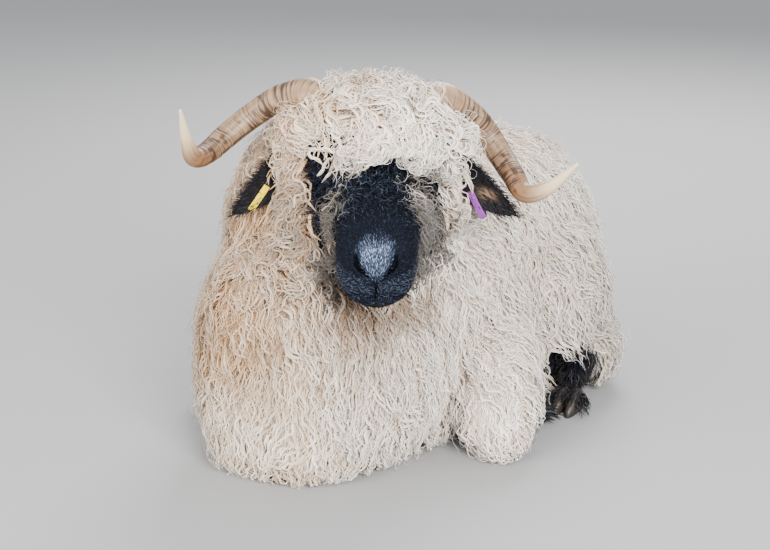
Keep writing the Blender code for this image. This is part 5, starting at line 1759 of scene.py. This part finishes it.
class EWE_OT_stage(bpy.types.Operator):
    """Set the floor, the lights and the camera"""

    bl_idname = "ewe.stage"
    bl_label = "Stage"

    def execute(self, context):
        """A pale floor, three soft lights, a pale surround and the photograph's view."""
        scene = context.scene
        look = scene.ewe_stage
        spread = FLOOR_REACH * np.array(((-1, -1, 0), (1, -1, 0), (1, 1, 0), (-1, 1, 0)))
        floor = add_mesh("floor", spread - (0, 0, 0.0004), [np.array([[0, 1, 2, 3]])])
        recipe = Recipe("floor")
        recipe.finish(Base_Color=(*look.floor, 1.0), Roughness=0.85)
        floor.data.materials.append(recipe.material)
        world = bpy.data.worlds.new("surround")
        world.use_nodes = True
        backdrop = world.node_tree.nodes["Background"].inputs
        backdrop["Color"].default_value = SURROUND_COLOUR
        backdrop["Strength"].default_value = SURROUND_STRENGTH
        scene.world = world
        for name, place, size, share in LIGHTS:
            lamp = bpy.data.lights.new(name, "AREA")
            lamp.energy, lamp.size = look.power * share, size
            holder = bpy.data.objects.new(name, lamp)
            holder.location = place
            aim = Vector(LIGHT_AIM) - Vector(place)
            holder.rotation_euler = aim.to_track_quat("-Z", "Y").to_euler()
            scene.collection.objects.link(holder)
        data = bpy.data.cameras.new("view")
        data.lens, data.sensor_width = CAMERA_LENS, CAMERA_SENSOR
        camera = bpy.data.objects.new("view", data)
        out = Vector(CAMERA_HEADING).normalized()
        right = out.cross(Vector((0, 0, 1))).normalized()
        turned = Matrix((right, right.cross(out), -out)).transposed().to_4x4()
        turned.translation = Vector(CAMERA_PLACE)
        camera.matrix_world = turned
        scene.collection.objects.link(camera)
        scene.camera = camera
        return {"FINISHED"}


OPERATORS = (EWE_OT_skin, EWE_OT_fleece, EWE_OT_forelock, EWE_OT_face_hair, EWE_OT_horns,
             EWE_OT_ears, EWE_OT_eyes, EWE_OT_hooves, EWE_OT_stage)


class EWE_PT_panel(bpy.types.Panel):
    """The ewe's pieces and settings"""

    bl_label = "Ewe"
    bl_idname = "EWE_PT_panel"
    bl_space_type = "VIEW_3D"
    bl_region_type = "UI"
    bl_category = "Ewe"

    def draw(self, context):
        """List the operators and the settings."""
        layout = self.layout
        for operator in OPERATORS:
            layout.operator(operator.bl_idname)
        for group in (context.scene.ewe_wool, context.scene.ewe_horn, context.scene.ewe_stage):
            box = layout.box()
            for name in group.bl_rna.properties.keys():
                if name not in ("rna_type", "name"):
                    box.prop(group, name)


CLASSES = (EweWool, EweHorn, EweStage, *OPERATORS, EWE_PT_panel)


def register():
    """Register the classes and hang the settings on the scene."""
    for item in CLASSES:
        bpy.utils.register_class(item)
    bpy.types.Scene.ewe_wool = PointerProperty(type=EweWool)
    bpy.types.Scene.ewe_horn = PointerProperty(type=EweHorn)
    bpy.types.Scene.ewe_stage = PointerProperty(type=EweStage)


def unregister():
    """Undo register."""
    del bpy.types.Scene.ewe_wool, bpy.types.Scene.ewe_horn, bpy.types.Scene.ewe_stage
    for item in reversed(CLASSES):
        bpy.utils.unregister_class(item)


def main():
    """Build every piece in order."""
    register()
    for operator in OPERATORS:
        group, name = operator.bl_idname.split(".")
        getattr(getattr(bpy.ops, group), name)()
    for name in ("body", "face"):
        bpy.data.objects.remove(grown.pop(name))


if __name__ == "__main__":
    main()
